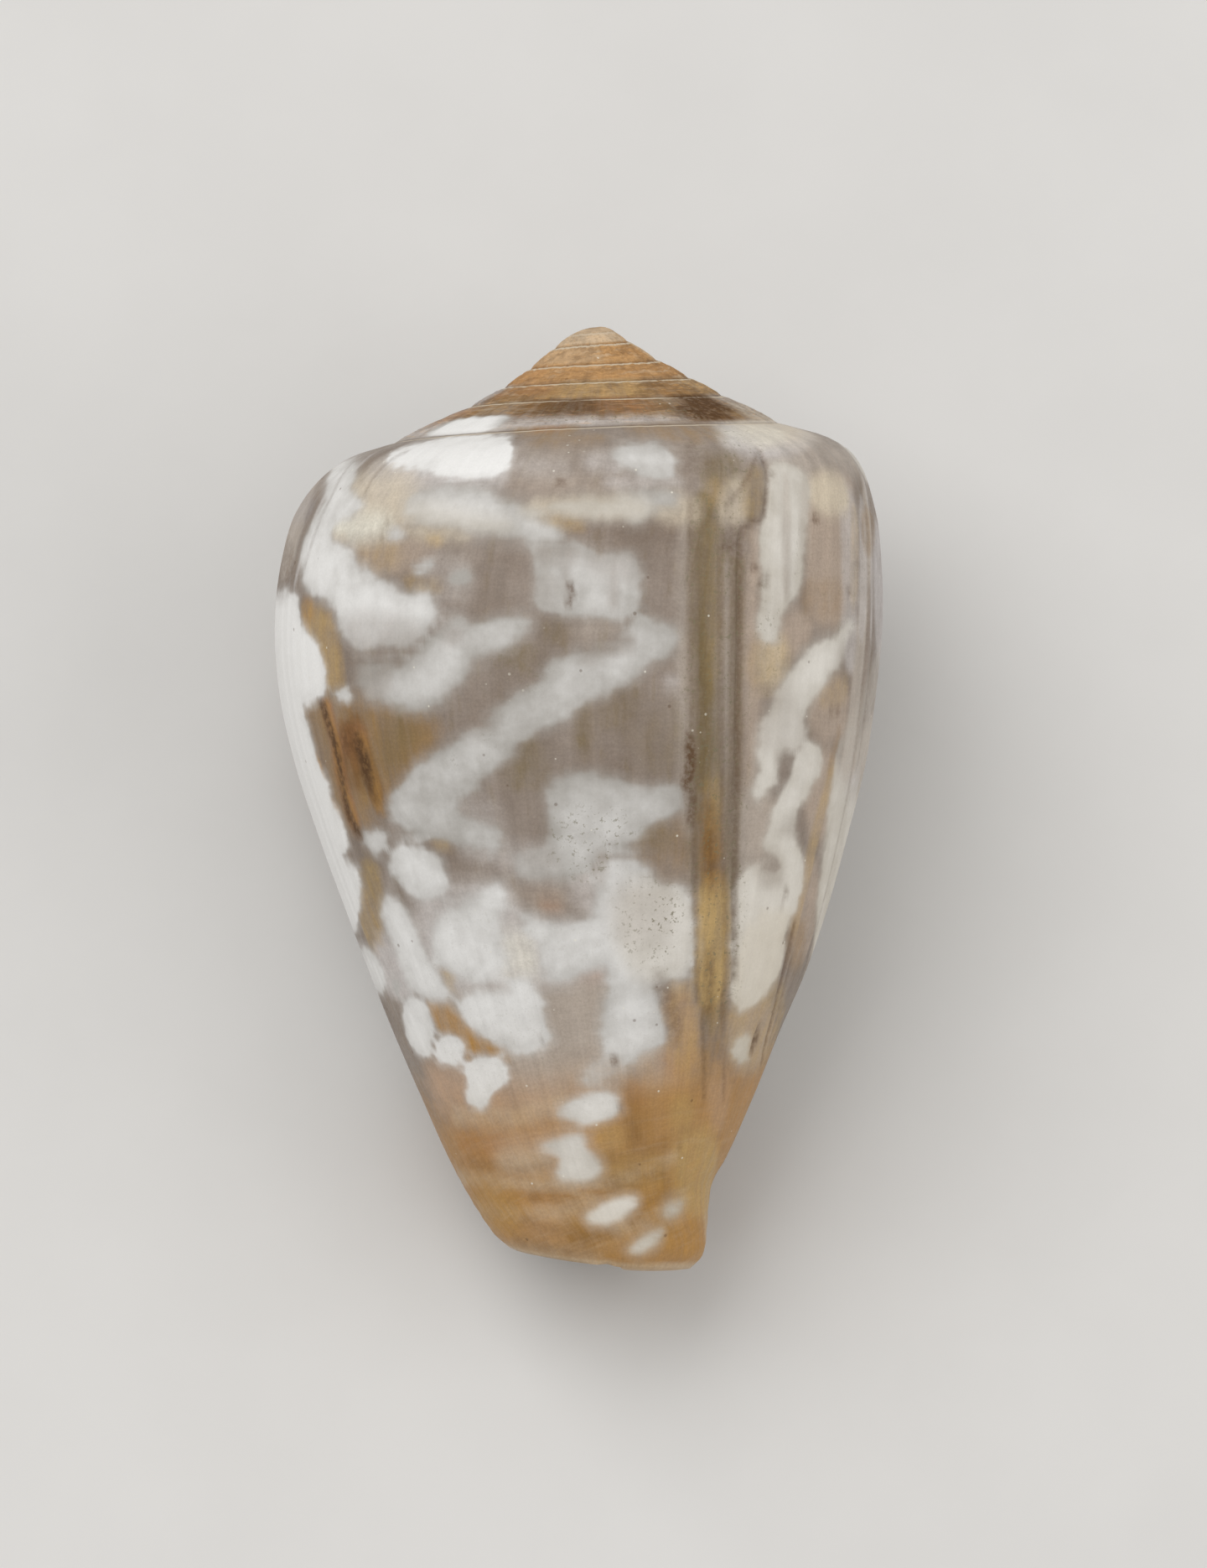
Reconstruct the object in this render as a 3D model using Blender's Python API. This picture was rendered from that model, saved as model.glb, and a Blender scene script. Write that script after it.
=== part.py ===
"""A cone shell lying on its mouth side, grown as one piece.

The shell is worked out upright first: its axis is Z, the apex is at the top, and the side towards -Y
is its back, which faces up when it lies down. Every place on it is given by how many turns of growth
it lies behind the outer lip and how far it is down the whorl. It is then laid over until it rests on
its belly and the edge of its lip, with the apex towards +Y.
"""

import math

import bmesh
import bpy
import numpy as np
from mathutils import Matrix, Vector

MM = 0.001

# Growth. A turn of 0 is the outer lip, and the turns count backwards to the apex.
LIP_ANGLE = 132.0  # degrees round from +X, anticlockwise from above, where the lip stands
FIRST_TURN = 5 + 2 / 3  # where the earliest whorl begins
MOUTH_DEPTH = 1 / 3  # turns from the lip to the blind end of the hollow
SHRINK = 0.75  # size of the column one turn further in
APEX_HEIGHT = 55.0  # mm, the length of the shell along its axis
APEX_ASIDE = 0.35  # mm by which the tip of the spire has grown towards -X
APEX_BEND = 3.0  # mm of height over which it does so

# The line where each whorl meets the one before it: turns back, radius and height in mm. The turns
# below 0 say where one more whorl would meet the last one, on its shoulder.
SUTURE = np.array((
    (-0.95, 16.10, 46.45), (-0.87, 15.80, 46.65), (-0.37, 14.30, 47.90), (0.05, 12.25, 48.05),
    (0.13, 12.10, 48.25), (0.38, 11.30, 49.10), (0.63, 10.20, 49.50), (1.13, 7.55, 50.40),
    (1.63, 7.00, 51.08), (2.13, 5.60, 51.50), (2.63, 5.05, 52.12), (3.13, 4.05, 52.60),
    (3.63, 3.30, 53.15), (4.13, 2.45, 53.80), (4.63, 1.80, 54.25), (5.13, 1.40, 54.58),
    (5.65, 1.00, 54.85),
))

# The outline of the last whorl below its shoulder: height, then the radius beside the lip, half a
# turn back and a full turn back, where it is the inner wall of the mouth. All in mm.
SIDE_TURNS = (0.13, 0.63, 1.05)
SIDE = np.array((
    (44.2, 17.80, 15.98, 13.90), (41.3, 18.68, 16.35, 14.60), (37.4, 19.07, 16.42, 14.50),
    (33.4, 18.77, 16.03, 13.80), (29.5, 17.89, 15.44, 12.80), (25.6, 16.62, 14.45, 11.50),
    (21.7, 15.20, 13.36, 10.00), (17.7, 13.68, 12.00, 8.20), (13.8, 12.11, 10.30, 6.40),
    (9.9, 10.39, 8.70, 4.70), (6.3, 8.78, 7.00, 3.40), (5.0, 8.20, 6.25, 3.05),
    (4.0, 7.75, 6.05, 2.80), (2.0, 6.80, 5.85, 2.45), (0.7, 6.10, 5.60, 2.20),
    (0.0, 5.45, 4.95, 1.90),
))

# The open edge at the foot of the shell: turns back and height in mm.
RIM = np.array((
    (0.00, 2.80), (0.02, 2.15), (0.05, 1.60), (0.12, 1.10), (0.19, 0.78), (0.26, 0.45),
    (0.34, 0.15), (0.44, 0.00), (0.56, 0.05), (0.75, 0.70), (1.00, 1.50), (1.30, 1.10),
    (1.56, 0.50),
))
FOOT_DOME = 0.6  # mm by which the end of the column bulges
RIM_REACH = 7.0  # mm above the foot at which the rise and fall of the rim has died out

# The lip and every growth line lag behind a straight line at the shoulder and at the foot: height in
# mm and degrees.
LAG = np.array((
    (0.0, 30.0), (1.5, 28.0), (3.0, 20.0), (5.0, 13.0), (8.0, 8.0), (12.0, 5.0), (20.0, 1.5),
    (30.0, 0.0), (38.0, 0.0), (44.0, 3.0), (47.5, 6.0), (50.0, 7.0),
))

# The wall of the last whorl.
LIP_WALL = 0.6  # mm at the very edge
FULL_WALL = 1.5  # mm once the wall has reached its thickness
WALL_TURN = 0.05  # turns in from the lip at which it has
FOOT_WALL = 0.6  # share of the wall that is left at the rim
FOOT_SHARE = 0.4  # share of the outline over which the wall thins towards the rim
LEAST_GAP = 0.5  # mm of room below which the mouth counts as closed
CLOSING = 0.4  # share of the mouth's depth over which it closes

# A healed break in growth: two grooves down the back, with the older shell a little proud of them.
BREAKS = ((0.443, 0.10), (0.462, 0.22))  # turns back, depth in mm
BREAK_WIDTH = 0.004  # turns
PROUD = 0.25  # mm by which the older side stands up
PROUD_REACH = 0.03  # turns over which it falls away
BREAK_FOOT = 12.0  # mm of height over which the breaks come in
BREAK_TOP = 48.5  # mm of height at which they end
BREAK_FADE = 3.0  # mm below that over which they die out

# How finely the surface is divided.
COLUMNS = 54  # round one turn
RAMP_ROWS = 4  # from the suture to where the next whorl sits
RAMP_SWELL = 0.05  # how far the ramp bulges, as a share of its width
RAMP_SKEW = 1.6  # above 1, the bulge lies nearer the shoulder than the suture
RAMP_END = 0.8  # share of the ramp from which the outline below is drawn on smoothly
SIDE_ROWS = (0.0, 0.03, 0.065, 0.105, 0.15, 0.20, 0.26, 0.32, 0.38, 0.45, 0.52, 0.59, 0.66,
             0.73, 0.79, 0.84, 0.885, 0.92, 0.95, 0.978, 1.0)
CAP_RINGS = (0.45, 0.8)  # how far out from the middle the rings of a rounded end lie
PERCH = RAMP_ROWS + 1  # the row on which the next whorl's wall ends
WELD = 1e-4  # mm within which points are one
HAIR = 1e-6  # turns within which two columns are one

SHARP = 45.0  # degrees between faces past which an edge is not shaded smooth

# How it lies.
ROLL = -0.3  # degrees turned about its own axis
LEAN = 14.0  # degrees that the axis rises towards the apex
FLAT = 0.35  # mm worn off where it touches the ground

# Its finish, as one middling colour of its marbling.
COLOUR = (0.52, 0.47, 0.42, 1)
ROUGHNESS = 0.35


def smooth_through(knots, values, at):
    """A curve through the values at the knots, with no corners, that runs on straight past its ends."""
    knots, values, at = np.asarray(knots), np.asarray(values), np.asarray(at, float)
    steps = np.diff(knots)
    slopes = np.diff(values) / steps
    inner = (slopes[:-1] * steps[1:] + slopes[1:] * steps[:-1]) / (steps[:-1] + steps[1:])
    tangents = np.concatenate((slopes[:1], inner, slopes[-1:]))
    inside = np.clip(at, knots[0], knots[-1])
    k = np.clip(np.searchsorted(knots, inside) - 1, 0, len(steps) - 1)
    t = (inside - knots[k]) / steps[k]
    curve = (
        values[k] * (1 + 2 * t) * (1 - t) ** 2
        + tangents[k] * steps[k] * t * (1 - t) ** 2
        + values[k + 1] * t * t * (3 - 2 * t)
        - tangents[k + 1] * steps[k] * t * t * (1 - t)
    )
    end = np.where(at < knots[0], tangents[0], tangents[-1])
    return curve + (at - inside) * end


def eased(share):
    """From 0 to 1, level at both ends."""
    share = np.clip(share, 0.0, 1.0)
    return share * share * (3 - 2 * share)


def suture(turn):
    """Radius and height of the suture."""
    return np.array([smooth_through(SUTURE[:, 0], SUTURE[:, k], turn) for k in (1, 2)])


def ramp(turn, share):
    """The sloping top of a whorl, from its suture at share 0 to the next one at share 1."""
    start, end = suture(turn), suture(turn - 1)
    along = end - start
    up = np.array((-along[1], along[0]))
    return start + along * share + up * RAMP_SWELL * math.sin(math.pi * share**RAMP_SKEW)


def rim_height(turn):
    return float(smooth_through(RIM[:, 0], RIM[:, 1], min(turn, RIM[-1, 0])))


def side_points(turn):
    """The points that the outline passes through below the shoulder."""
    if turn <= SIDE_TURNS[-1]:
        radii = [smooth_through(SIDE_TURNS, row[1:], turn) for row in SIDE]
    else:
        radii = SIDE[:, 3] * SHRINK ** (turn - SIDE_TURNS[-1])
    heights = SIDE[:, 0] + rim_height(turn) * np.clip(1 - SIDE[:, 0] / RIM_REACH, 0, 1)
    return np.column_stack((radii, heights))


def outline(turn):
    """Radius and height of every row at this turn, from the suture down to the rim."""
    top = [ramp(turn, row / RAMP_ROWS) for row in range(RAMP_ROWS)]
    knots = np.vstack((ramp(turn, RAMP_END), suture(turn - 1), side_points(turn)))
    lengths = np.concatenate(((0,), np.cumsum(np.linalg.norm(np.diff(knots, axis=0), axis=1))))
    along = lengths[1] + np.array(SIDE_ROWS) * (lengths[-1] - lengths[1])
    below = np.column_stack([smooth_through(lengths, knots[:, k], along) for k in (0, 1)])
    return np.vstack((top, below))


def normals(curve):
    """Directions that point out of the shell, square to an outline."""
    along = np.gradient(curve, axis=0)
    out = np.column_stack((-along[:, 1], along[:, 0]))
    return out / np.linalg.norm(out, axis=1)[:, None]


def wall(turn, rows):
    """Thickness of the wall of the last whorl, down its rows."""
    full = LIP_WALL + (FULL_WALL - LIP_WALL) * math.sqrt(eased(turn / WALL_TURN))
    share = np.linspace(0, 1, rows)
    return full * (1 - (1 - FOOT_WALL) * eased((share - 1) / FOOT_SHARE + 1))


def mouth_wall(turn):
    """The inner face of the last whorl's wall: it starts on the whorl before and ends at the rim."""
    outer = outline(turn)
    column = outline(turn + 1)[PERCH:]
    inner = outer - normals(outer) * wall(turn, len(outer))[:, None]
    inner[-1, 1] = outer[-1, 1]
    room = inner[:, 0] - np.interp(inner[:, 1], column[::-1, 1], column[::-1, 0])
    clear = [p for p, gap in zip(inner, room) if gap > LEAST_GAP and p[1] < column[0, 1]]
    path = np.vstack((column[:1], clear))
    shares = arc_shares(outer)
    return np.column_stack([np.interp(shares, arc_shares(path), path[:, k]) for k in (0, 1)])


def arc_shares(curve):
    """How far along a curve each of its points is, from 0 to 1."""
    steps = np.linalg.norm(np.diff(curve, axis=0), axis=1)
    return np.concatenate(((0,), np.cumsum(steps))) / steps.sum()


def hollow(turn):
    """The mouth's outer face, which closes on the column towards the blind end."""
    column = outline(turn + 1)
    column[:PERCH] = column[PERCH]
    near_end = np.clip((turn / MOUTH_DEPTH - 1) / CLOSING + 1, 0, 1)
    return column + (mouth_wall(turn) - column) * math.sqrt(1 - near_end**2)


def break_relief(turn, height):
    """How far a healed break lifts or sinks the surface."""
    relief = sum(-depth * math.exp(-(((turn - at) / BREAK_WIDTH) ** 2)) for at, depth in BREAKS)
    past = turn - BREAKS[-1][0] - BREAK_WIDTH
    if past > 0:
        relief += PROUD * math.exp(-past / PROUD_REACH)
    return relief * float(eased(height / BREAK_FOOT) * eased((BREAK_TOP - height) / BREAK_FADE))


def placed(turn, point, relief=0.0):
    """A point of an outline as a place in space, in mm."""
    radius, height = point
    lag = float(smooth_through(LAG[:, 0], LAG[:, 1], np.clip(height, 0, LAG[-1, 0])))
    angle = math.radians(LIP_ANGLE + 360 * turn + lag)
    radius += relief
    aside = APEX_ASIDE * float(eased(1 - (APEX_HEIGHT - height) / APEX_BEND))
    return Vector((radius * math.cos(angle) - aside, radius * math.sin(angle), height))


def sheet(bm, points):
    """A flat grid wrapped onto columns of points."""
    columns, rows = len(points) - 1, len(points[0]) - 1
    made = bmesh.ops.create_grid(bm, x_segments=columns, y_segments=rows, size=1.0)
    for vert in made["verts"]:
        column = round((vert.co.x + 1) / 2 * columns)
        row = round((vert.co.y + 1) / 2 * rows)
        vert.co = points[column][row]


def middle_of(points):
    return sum(points, Vector()) / len(points)


def cap(bm, loop, centre, bulge):
    """A rounded end that closes a loop of points and stands out by the bulge in its middle."""
    hub = bm.verts.new(centre + bulge)
    inner = None
    for share in CAP_RINGS + (1.0,):
        rise = bulge * (1 - share * share)
        ring = [bm.verts.new(centre.lerp(point, share) + rise) for point in loop]
        for k, vert in enumerate(ring):
            if inner is None:
                bm.faces.new((ring[k - 1], vert, hub))
            else:
                bm.faces.new((ring[k - 1], vert, inner[k], inner[k - 1]))
        inner = ring


def grow():
    """The whole shell, upright, in mm."""
    beside_breaks = [at + step for at, _ in BREAKS for step in (-BREAK_WIDTH, 0, BREAK_WIDTH)]
    one_turn = sorted([k / COLUMNS for k in range(COLUMNS)] + beside_breaks)
    last_whorl = one_turn + [1.0]
    spire = [whole + part for whole in range(1, math.ceil(FIRST_TURN)) for part in one_turn]
    spire = [turn for turn in spire if turn < FIRST_TURN - HAIR] + [FIRST_TURN]
    mouth = [turn for turn in one_turn if turn < MOUTH_DEPTH - HAIR] + [MOUTH_DEPTH]

    outer = [
        [placed(turn, p, break_relief(turn, p[1])) for p in outline(turn)] for turn in last_whorl
    ]
    ramps = [[placed(turn, p) for p in outline(turn)[: RAMP_ROWS + 1]] for turn in spire]
    column = [[placed(turn + 1, p) for p in outline(turn + 1)[PERCH:]] for turn in mouth]
    inner = [[placed(turn, p) for p in hollow(turn)] for turn in mouth]
    lip = [outer[0], inner[0]]
    rim = [[outer[k][-1], inner[k][-1]] for k in range(len(mouth))]

    bm = bmesh.new()
    for points in (outer, ramps, column, inner, lip, rim):
        sheet(bm, points)

    closed = len(mouth) - 1
    foot = [points[-1] for points in outer[closed:]] + [points[-1] for points in column[1:]]
    cap(bm, foot, middle_of(foot), Vector((0, 0, -FOOT_DOME)))
    earliest = ramps[-1 - len(one_turn):]
    tip = [points[0] for points in earliest] + ramps[-1][1:-1]
    middle = middle_of(tip)
    cap(bm, tip, middle, Vector((0, 0, APEX_HEIGHT - middle.z)))

    bmesh.ops.remove_doubles(bm, verts=bm.verts, dist=WELD)
    bmesh.ops.dissolve_degenerate(bm, edges=bm.edges, dist=WELD)
    bmesh.ops.recalc_face_normals(bm, faces=bm.faces)
    return bm


def lay_down(bm):
    """Turns the shell onto its mouth side, wears it flat where it touches and centres it."""
    turned = Matrix.Rotation(math.radians(LEAN - 90), 4, "X") @ Matrix.Rotation(
        math.radians(ROLL), 4, "Z"
    )
    bmesh.ops.transform(bm, matrix=turned, verts=bm.verts)
    ground = min(v.co.z for v in bm.verts) + FLAT
    geometry = list(bm.verts) + list(bm.edges) + list(bm.faces)
    cut = bmesh.ops.bisect_plane(
        bm, geom=geometry, plane_co=(0, 0, ground), plane_no=(0, 0, -1), clear_outer=True
    )
    rings = [e for e in cut["geom_cut"] if isinstance(e, bmesh.types.BMEdge)]
    bmesh.ops.holes_fill(bm, edges=rings, sides=0)
    bmesh.ops.recalc_face_normals(bm, faces=bm.faces)
    low = [min(v.co[k] for v in bm.verts) for k in range(3)]
    high = [max(v.co[k] for v in bm.verts) for k in range(3)]
    middle = Vector(((low[0] + high[0]) / 2, (low[1] + high[1]) / 2, ground))
    bmesh.ops.translate(bm, vec=-middle, verts=bm.verts)
    bmesh.ops.scale(bm, vec=(MM, MM, MM), verts=bm.verts)


def marbled_shell():
    material = bpy.data.materials.new("marbled_shell")
    material.use_nodes = True
    shader = material.node_tree.nodes["Principled BSDF"]
    shader.inputs["Base Color"].default_value = COLOUR
    shader.inputs["Roughness"].default_value = ROUGHNESS
    shader.inputs["Metallic"].default_value = 0.0
    return material


def main():
    for old in list(bpy.data.objects):
        bpy.data.objects.remove(old)
    bm = grow()
    lay_down(bm)
    mesh = bpy.data.meshes.new("shell")
    bm.to_mesh(mesh)
    bm.free()
    mesh.shade_smooth()
    mesh.set_sharp_from_angle(angle=math.radians(SHARP))
    shell = bpy.data.objects.new("shell", mesh)
    shell.data.materials.append(marbled_shell())
    bpy.context.scene.collection.objects.link(shell)


main()
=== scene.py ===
"""The looks of the cone shell: a finely divided shell with its healed scar and growth lines, its
marbling, the floor, the light and the camera.

The shell is worked out upright first, as its solid is: its axis is Z, the apex is at the top, and the
side towards -Y is its back. Marks on the back are given in mm as the photo shows them: how far right of
the axis, and how far above the foot. They are carried round the shell, so they hold from every side.
"""

import math

import bmesh
import bpy
import numpy as np
from mathutils import Matrix, Vector


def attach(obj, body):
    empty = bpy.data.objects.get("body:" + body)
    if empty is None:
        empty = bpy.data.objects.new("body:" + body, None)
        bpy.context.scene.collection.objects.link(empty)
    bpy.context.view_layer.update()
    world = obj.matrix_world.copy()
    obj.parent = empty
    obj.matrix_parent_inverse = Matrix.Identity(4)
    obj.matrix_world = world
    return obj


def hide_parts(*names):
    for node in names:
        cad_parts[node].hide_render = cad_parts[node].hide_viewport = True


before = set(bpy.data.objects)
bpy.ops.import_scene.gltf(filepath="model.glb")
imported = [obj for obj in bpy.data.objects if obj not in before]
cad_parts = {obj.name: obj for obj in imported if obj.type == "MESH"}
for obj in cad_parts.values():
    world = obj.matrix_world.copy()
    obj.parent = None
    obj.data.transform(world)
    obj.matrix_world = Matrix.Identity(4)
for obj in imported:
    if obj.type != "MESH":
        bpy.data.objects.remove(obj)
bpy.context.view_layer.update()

MM = 0.001

# Growth. A turn of 0 is the outer lip, and the turns count backwards to the apex.
LIP_ANGLE = 132.0  # degrees round from +X, anticlockwise from above, where the lip stands
BACK_ANGLE = 270.0  # degrees round at which the middle of the back is
FIRST_TURN = 5 + 2 / 3  # where the earliest whorl begins
MOUTH_DEPTH = 1 / 3  # turns from the lip to the blind end of the hollow
APEX_HEIGHT = 55.0  # mm, the length of the shell along its axis
APEX_ASIDE = 0.35  # mm by which the tip of the spire has grown towards -X
APEX_BEND = 3.0  # mm of height over which it does so

# The line where each whorl meets the one before it: turns back, radius and height in mm.
SUTURE = np.array((
    (-0.95, 16.10, 46.45), (-0.87, 15.80, 46.65), (-0.37, 14.30, 47.90), (0.05, 12.25, 48.05),
    (0.13, 12.10, 48.25), (0.38, 11.30, 49.10), (0.63, 10.20, 49.50), (1.13, 7.55, 50.40),
    (1.63, 7.00, 51.08), (2.13, 5.60, 51.50), (2.63, 5.05, 52.12), (3.13, 4.05, 52.60),
    (3.63, 3.30, 53.15), (4.13, 2.45, 53.80), (4.63, 1.80, 54.25), (5.13, 1.40, 54.58),
    (5.65, 1.00, 54.85),
))

# The outline of the last whorl below its shoulder: height, then the radius beside the lip, half a
# turn back and a full turn back, where it is the inner wall of the mouth. All in mm.
SIDE_TURNS = (0.13, 0.63, 1.05)
SIDE = np.array((
    (44.2, 17.80, 15.98, 13.90), (41.3, 18.68, 16.35, 14.60), (37.4, 19.07, 16.42, 14.50),
    (33.4, 18.77, 16.03, 13.80), (29.5, 17.89, 15.44, 12.80), (25.6, 16.62, 14.45, 11.50),
    (21.7, 15.20, 13.36, 10.00), (17.7, 13.68, 12.00, 8.20), (13.8, 12.11, 10.30, 6.40),
    (9.9, 10.39, 8.70, 4.70), (6.3, 8.78, 7.00, 3.40), (5.0, 8.20, 6.25, 3.05),
    (4.0, 7.75, 6.05, 2.80), (2.0, 6.80, 5.85, 2.45), (0.7, 6.10, 5.60, 2.20),
    (0.0, 5.45, 4.95, 1.90),
))

# The open edge at the foot of the shell: turns back and height in mm.
RIM = np.array((
    (0.00, 2.80), (0.02, 2.15), (0.05, 1.60), (0.12, 1.10), (0.19, 0.78), (0.26, 0.45),
    (0.34, 0.15), (0.44, 0.00), (0.56, 0.05), (0.75, 0.70), (1.00, 1.50), (1.30, 1.10),
    (1.56, 0.50),
))
SHRINK = 0.75  # size of the column one turn further in
FOOT_DOME = 0.6  # mm by which the end of the column bulges
RIM_REACH = 7.0  # mm above the foot at which the rise and fall of the rim has died out

# The lip and every growth line lag behind a straight line at the shoulder and at the foot: height in
# mm and degrees.
LAG = np.array((
    (0.0, 30.0), (1.5, 28.0), (3.0, 20.0), (5.0, 13.0), (8.0, 8.0), (12.0, 5.0), (20.0, 1.5),
    (30.0, 0.0), (38.0, 0.0), (44.0, 3.0), (47.5, 6.0), (50.0, 7.0),
))

# The wall of the last whorl.
LIP_WALL = 0.6  # mm at the very edge
FULL_WALL = 1.5  # mm once the wall has reached its thickness
WALL_TURN = 0.05  # turns in from the lip at which it has
FOOT_WALL = 0.6  # share of the wall that is left at the rim
FOOT_SHARE = 0.4  # share of the outline over which the wall thins towards the rim
LEAST_GAP = 0.5  # mm of room below which the mouth counts as closed
CLOSING = 0.4  # share of the mouth's depth over which it closes

# How it lies.
ROLL = -0.3  # degrees turned about its own axis
LEAN = 14.0  # degrees that the axis rises towards the apex
FLAT = 0.35  # mm worn off where it touches the ground

# How finely the surface is divided. The columns stand closer where the back shows and closest beside
# the healed scar.
BACK_FROM, BACK_TO, BACK_COLUMNS = 0.11, 0.66, 270
FAR_COLUMNS = 118
SCAR_FROM, SCAR_TO, SCAR_COLUMNS = 0.435, 0.475, 36
RAMP_ROWS = 7  # from the suture to where the next whorl sits
RAMP_SWELL = 0.05  # how far the ramp bulges, as a share of its width
SPIRE_SWELL = 0.3  # share of that bulge which the whorls of the spire have
SWELL_FROM, SWELL_OVER = 0.6, 0.4  # turns at which it starts to lessen, and over which it does
RAMP_SKEW = 1.6  # above 1, the bulge lies nearer the shoulder than the suture
RAMP_END = 0.8  # share of the ramp from which the outline below is drawn on smoothly
PERCH = RAMP_ROWS + 1  # the row on which the next whorl's wall ends
PERCH_SHARE = 0.006  # how far down the side that row lies
SIDE_COUNT = 102  # rows below it
ROW_CROWD = 0.5  # how much closer they stand at the shoulder and the foot than between
CAP_SHARES = (0.0, 0.3, 0.55, 0.8, 1.0)  # how far out from the middle the rings of a rounded end lie
EDGE_INSIDE = (0.7, 1.0)  # how much the edge of the wall has the colour of the inside, outside and in
MAP_PER_TURN = 100.0  # units of the growth map in one turn, near enough mm at the shell's widest
WELD = 1e-4  # mm within which points are one
HAIR = 1e-6  # turns within which two columns are one
SHARP = 50.0  # degrees between faces past which an edge is not shaded smooth

# Relief finer than the solid's, in mm.
GROOVE_DEPTH, GROOVE_REACH = 0.06, 0.16  # the suture's groove
WAVES = ((23.0, 0.4, 0.022), (57.0, 1.9, 0.014), (91.0, 4.1, 0.010), (143.0, 2.7, 0.006))
WAVE_FOOT, WAVE_TOP = 0.2, 22.0  # share of the waves left at the foot, and mm of height where all is
RAMP_WAVES = ((29.0, 0.7, 9.0, 0.030), (47.0, 2.3, -7.0, 0.022), (83.0, 5.2, 14.0, 0.014))
FOOT_CORDS, CORD_SPACE, CORD_RISE = 0.022, 1.05, 0.26  # depth, distance apart and slant
CORD_TOP = 11.0  # height above which the cords at the foot have faded
RIM_FADE = 1.5  # mm above the rim over which it sets in
END_FADE = 0.02  # turns over which the fine relief dies out where two parts of the surface meet
CHIP_AT, CHIP_HALF, CHIP_RISE, CHIP_UP = 0.35, 0.40, 0.12, 1.2  # the chip in the foot's edge

# The healed break. Right of this line on the back the surface stands a little proud: mm right of the
# axis and above the foot.
LEDGE = (
    (8.6, 47.6), (8.4, 45.0), (8.15, 43.0), (8.05, 40.0), (8.0, 35.0), (7.9, 30.0), (7.8, 26.0),
    (7.7, 20.0), (7.7, 16.0), (7.4, 11.0), (6.9, 6.0),
)
PROUD, PROUD_REACH = 0.22, 2.2  # mm that it stands out, and mm over which that falls away again
LEDGE_SOFT = 0.35  # mm over which the step rises
LEDGE_FOOT, LEDGE_FOOT_OVER = 9.0, 9.0  # mm of height above which it sets in, and over which
LEDGE_TOP, LEDGE_TOP_OVER = 48.3, 2.0  # mm of height where it has died out, and over which


def smooth_through(knots, values, at):
    """A curve through the values at the knots, with no corners, that runs on straight past its ends."""
    knots, values, at = np.asarray(knots), np.asarray(values), np.asarray(at, float)
    steps = np.diff(knots)
    slopes = np.diff(values) / steps
    inner = (slopes[:-1] * steps[1:] + slopes[1:] * steps[:-1]) / (steps[:-1] + steps[1:])
    tangents = np.concatenate((slopes[:1], inner, slopes[-1:]))
    inside = np.clip(at, knots[0], knots[-1])
    k = np.clip(np.searchsorted(knots, inside) - 1, 0, len(steps) - 1)
    t = (inside - knots[k]) / steps[k]
    curve = (
        values[k] * (1 + 2 * t) * (1 - t) ** 2
        + tangents[k] * steps[k] * t * (1 - t) ** 2
        + values[k + 1] * t * t * (3 - 2 * t)
        - tangents[k + 1] * steps[k] * t * t * (1 - t)
    )
    end = np.where(at < knots[0], tangents[0], tangents[-1])
    return curve + (at - inside) * end


def eased(share):
    """From 0 to 1, level at both ends."""
    share = np.clip(share, 0.0, 1.0)
    return share * share * (3 - 2 * share)


def bump(distance, reach):
    """1 at no distance, and falling away smoothly over the reach."""
    return np.exp(-((distance / reach) ** 2))


def suture(turn):
    """Radius and height of the suture."""
    return np.array([smooth_through(SUTURE[:, 0], SUTURE[:, k], turn) for k in (1, 2)])


def ramp(turn, shares):
    """The sloping top of a whorl, from its suture at share 0 to the next one at share 1."""
    start, end = suture(turn), suture(turn - 1)
    along = end - start
    up = np.array((-along[1], along[0]))
    shares = np.atleast_1d(shares)[:, None]
    swell = RAMP_SWELL * (1 - (1 - SPIRE_SWELL) * eased((turn - SWELL_FROM) / SWELL_OVER))
    return start + along * shares + up * swell * np.sin(math.pi * shares**RAMP_SKEW)


def rim_height(turn):
    return float(smooth_through(RIM[:, 0], RIM[:, 1], min(turn, RIM[-1, 0])))


def side_points(turn):
    """The points that the outline passes through below the shoulder."""
    radii = [smooth_through(SIDE_TURNS, row[1:], min(turn, SIDE_TURNS[-1])) for row in SIDE]
    shrink = SHRINK ** max(turn - SIDE_TURNS[-1], 0)
    heights = SIDE[:, 0] + rim_height(turn) * np.clip(1 - SIDE[:, 0] / RIM_REACH, 0, 1)
    return np.column_stack((np.array(radii) * shrink, heights))


steps_down = np.linspace(0, 1, SIDE_COUNT)
crowded = steps_down - ROW_CROWD * np.sin(2 * math.pi * steps_down) / (2 * math.pi)
SIDE_ROWS = np.concatenate(((0.0,), PERCH_SHARE + (1 - PERCH_SHARE) * crowded))


def outline(turn):
    """Radius and height of every row at this turn, from the suture down to the rim."""
    top = ramp(turn, np.arange(RAMP_ROWS) / RAMP_ROWS)
    knots = np.vstack((ramp(turn, RAMP_END), suture(turn - 1), side_points(turn)))
    lengths = np.concatenate(((0,), np.cumsum(np.linalg.norm(np.diff(knots, axis=0), axis=1))))
    along = lengths[1] + SIDE_ROWS * (lengths[-1] - lengths[1])
    below = np.column_stack([smooth_through(lengths, knots[:, k], along) for k in (0, 1)])
    return np.vstack((top, below))


def normals(curve):
    """Directions that point out of the shell, square to an outline."""
    along = np.gradient(curve, axis=0)
    out = np.column_stack((-along[:, 1], along[:, 0]))
    return out / np.linalg.norm(out, axis=1)[:, None]


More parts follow.
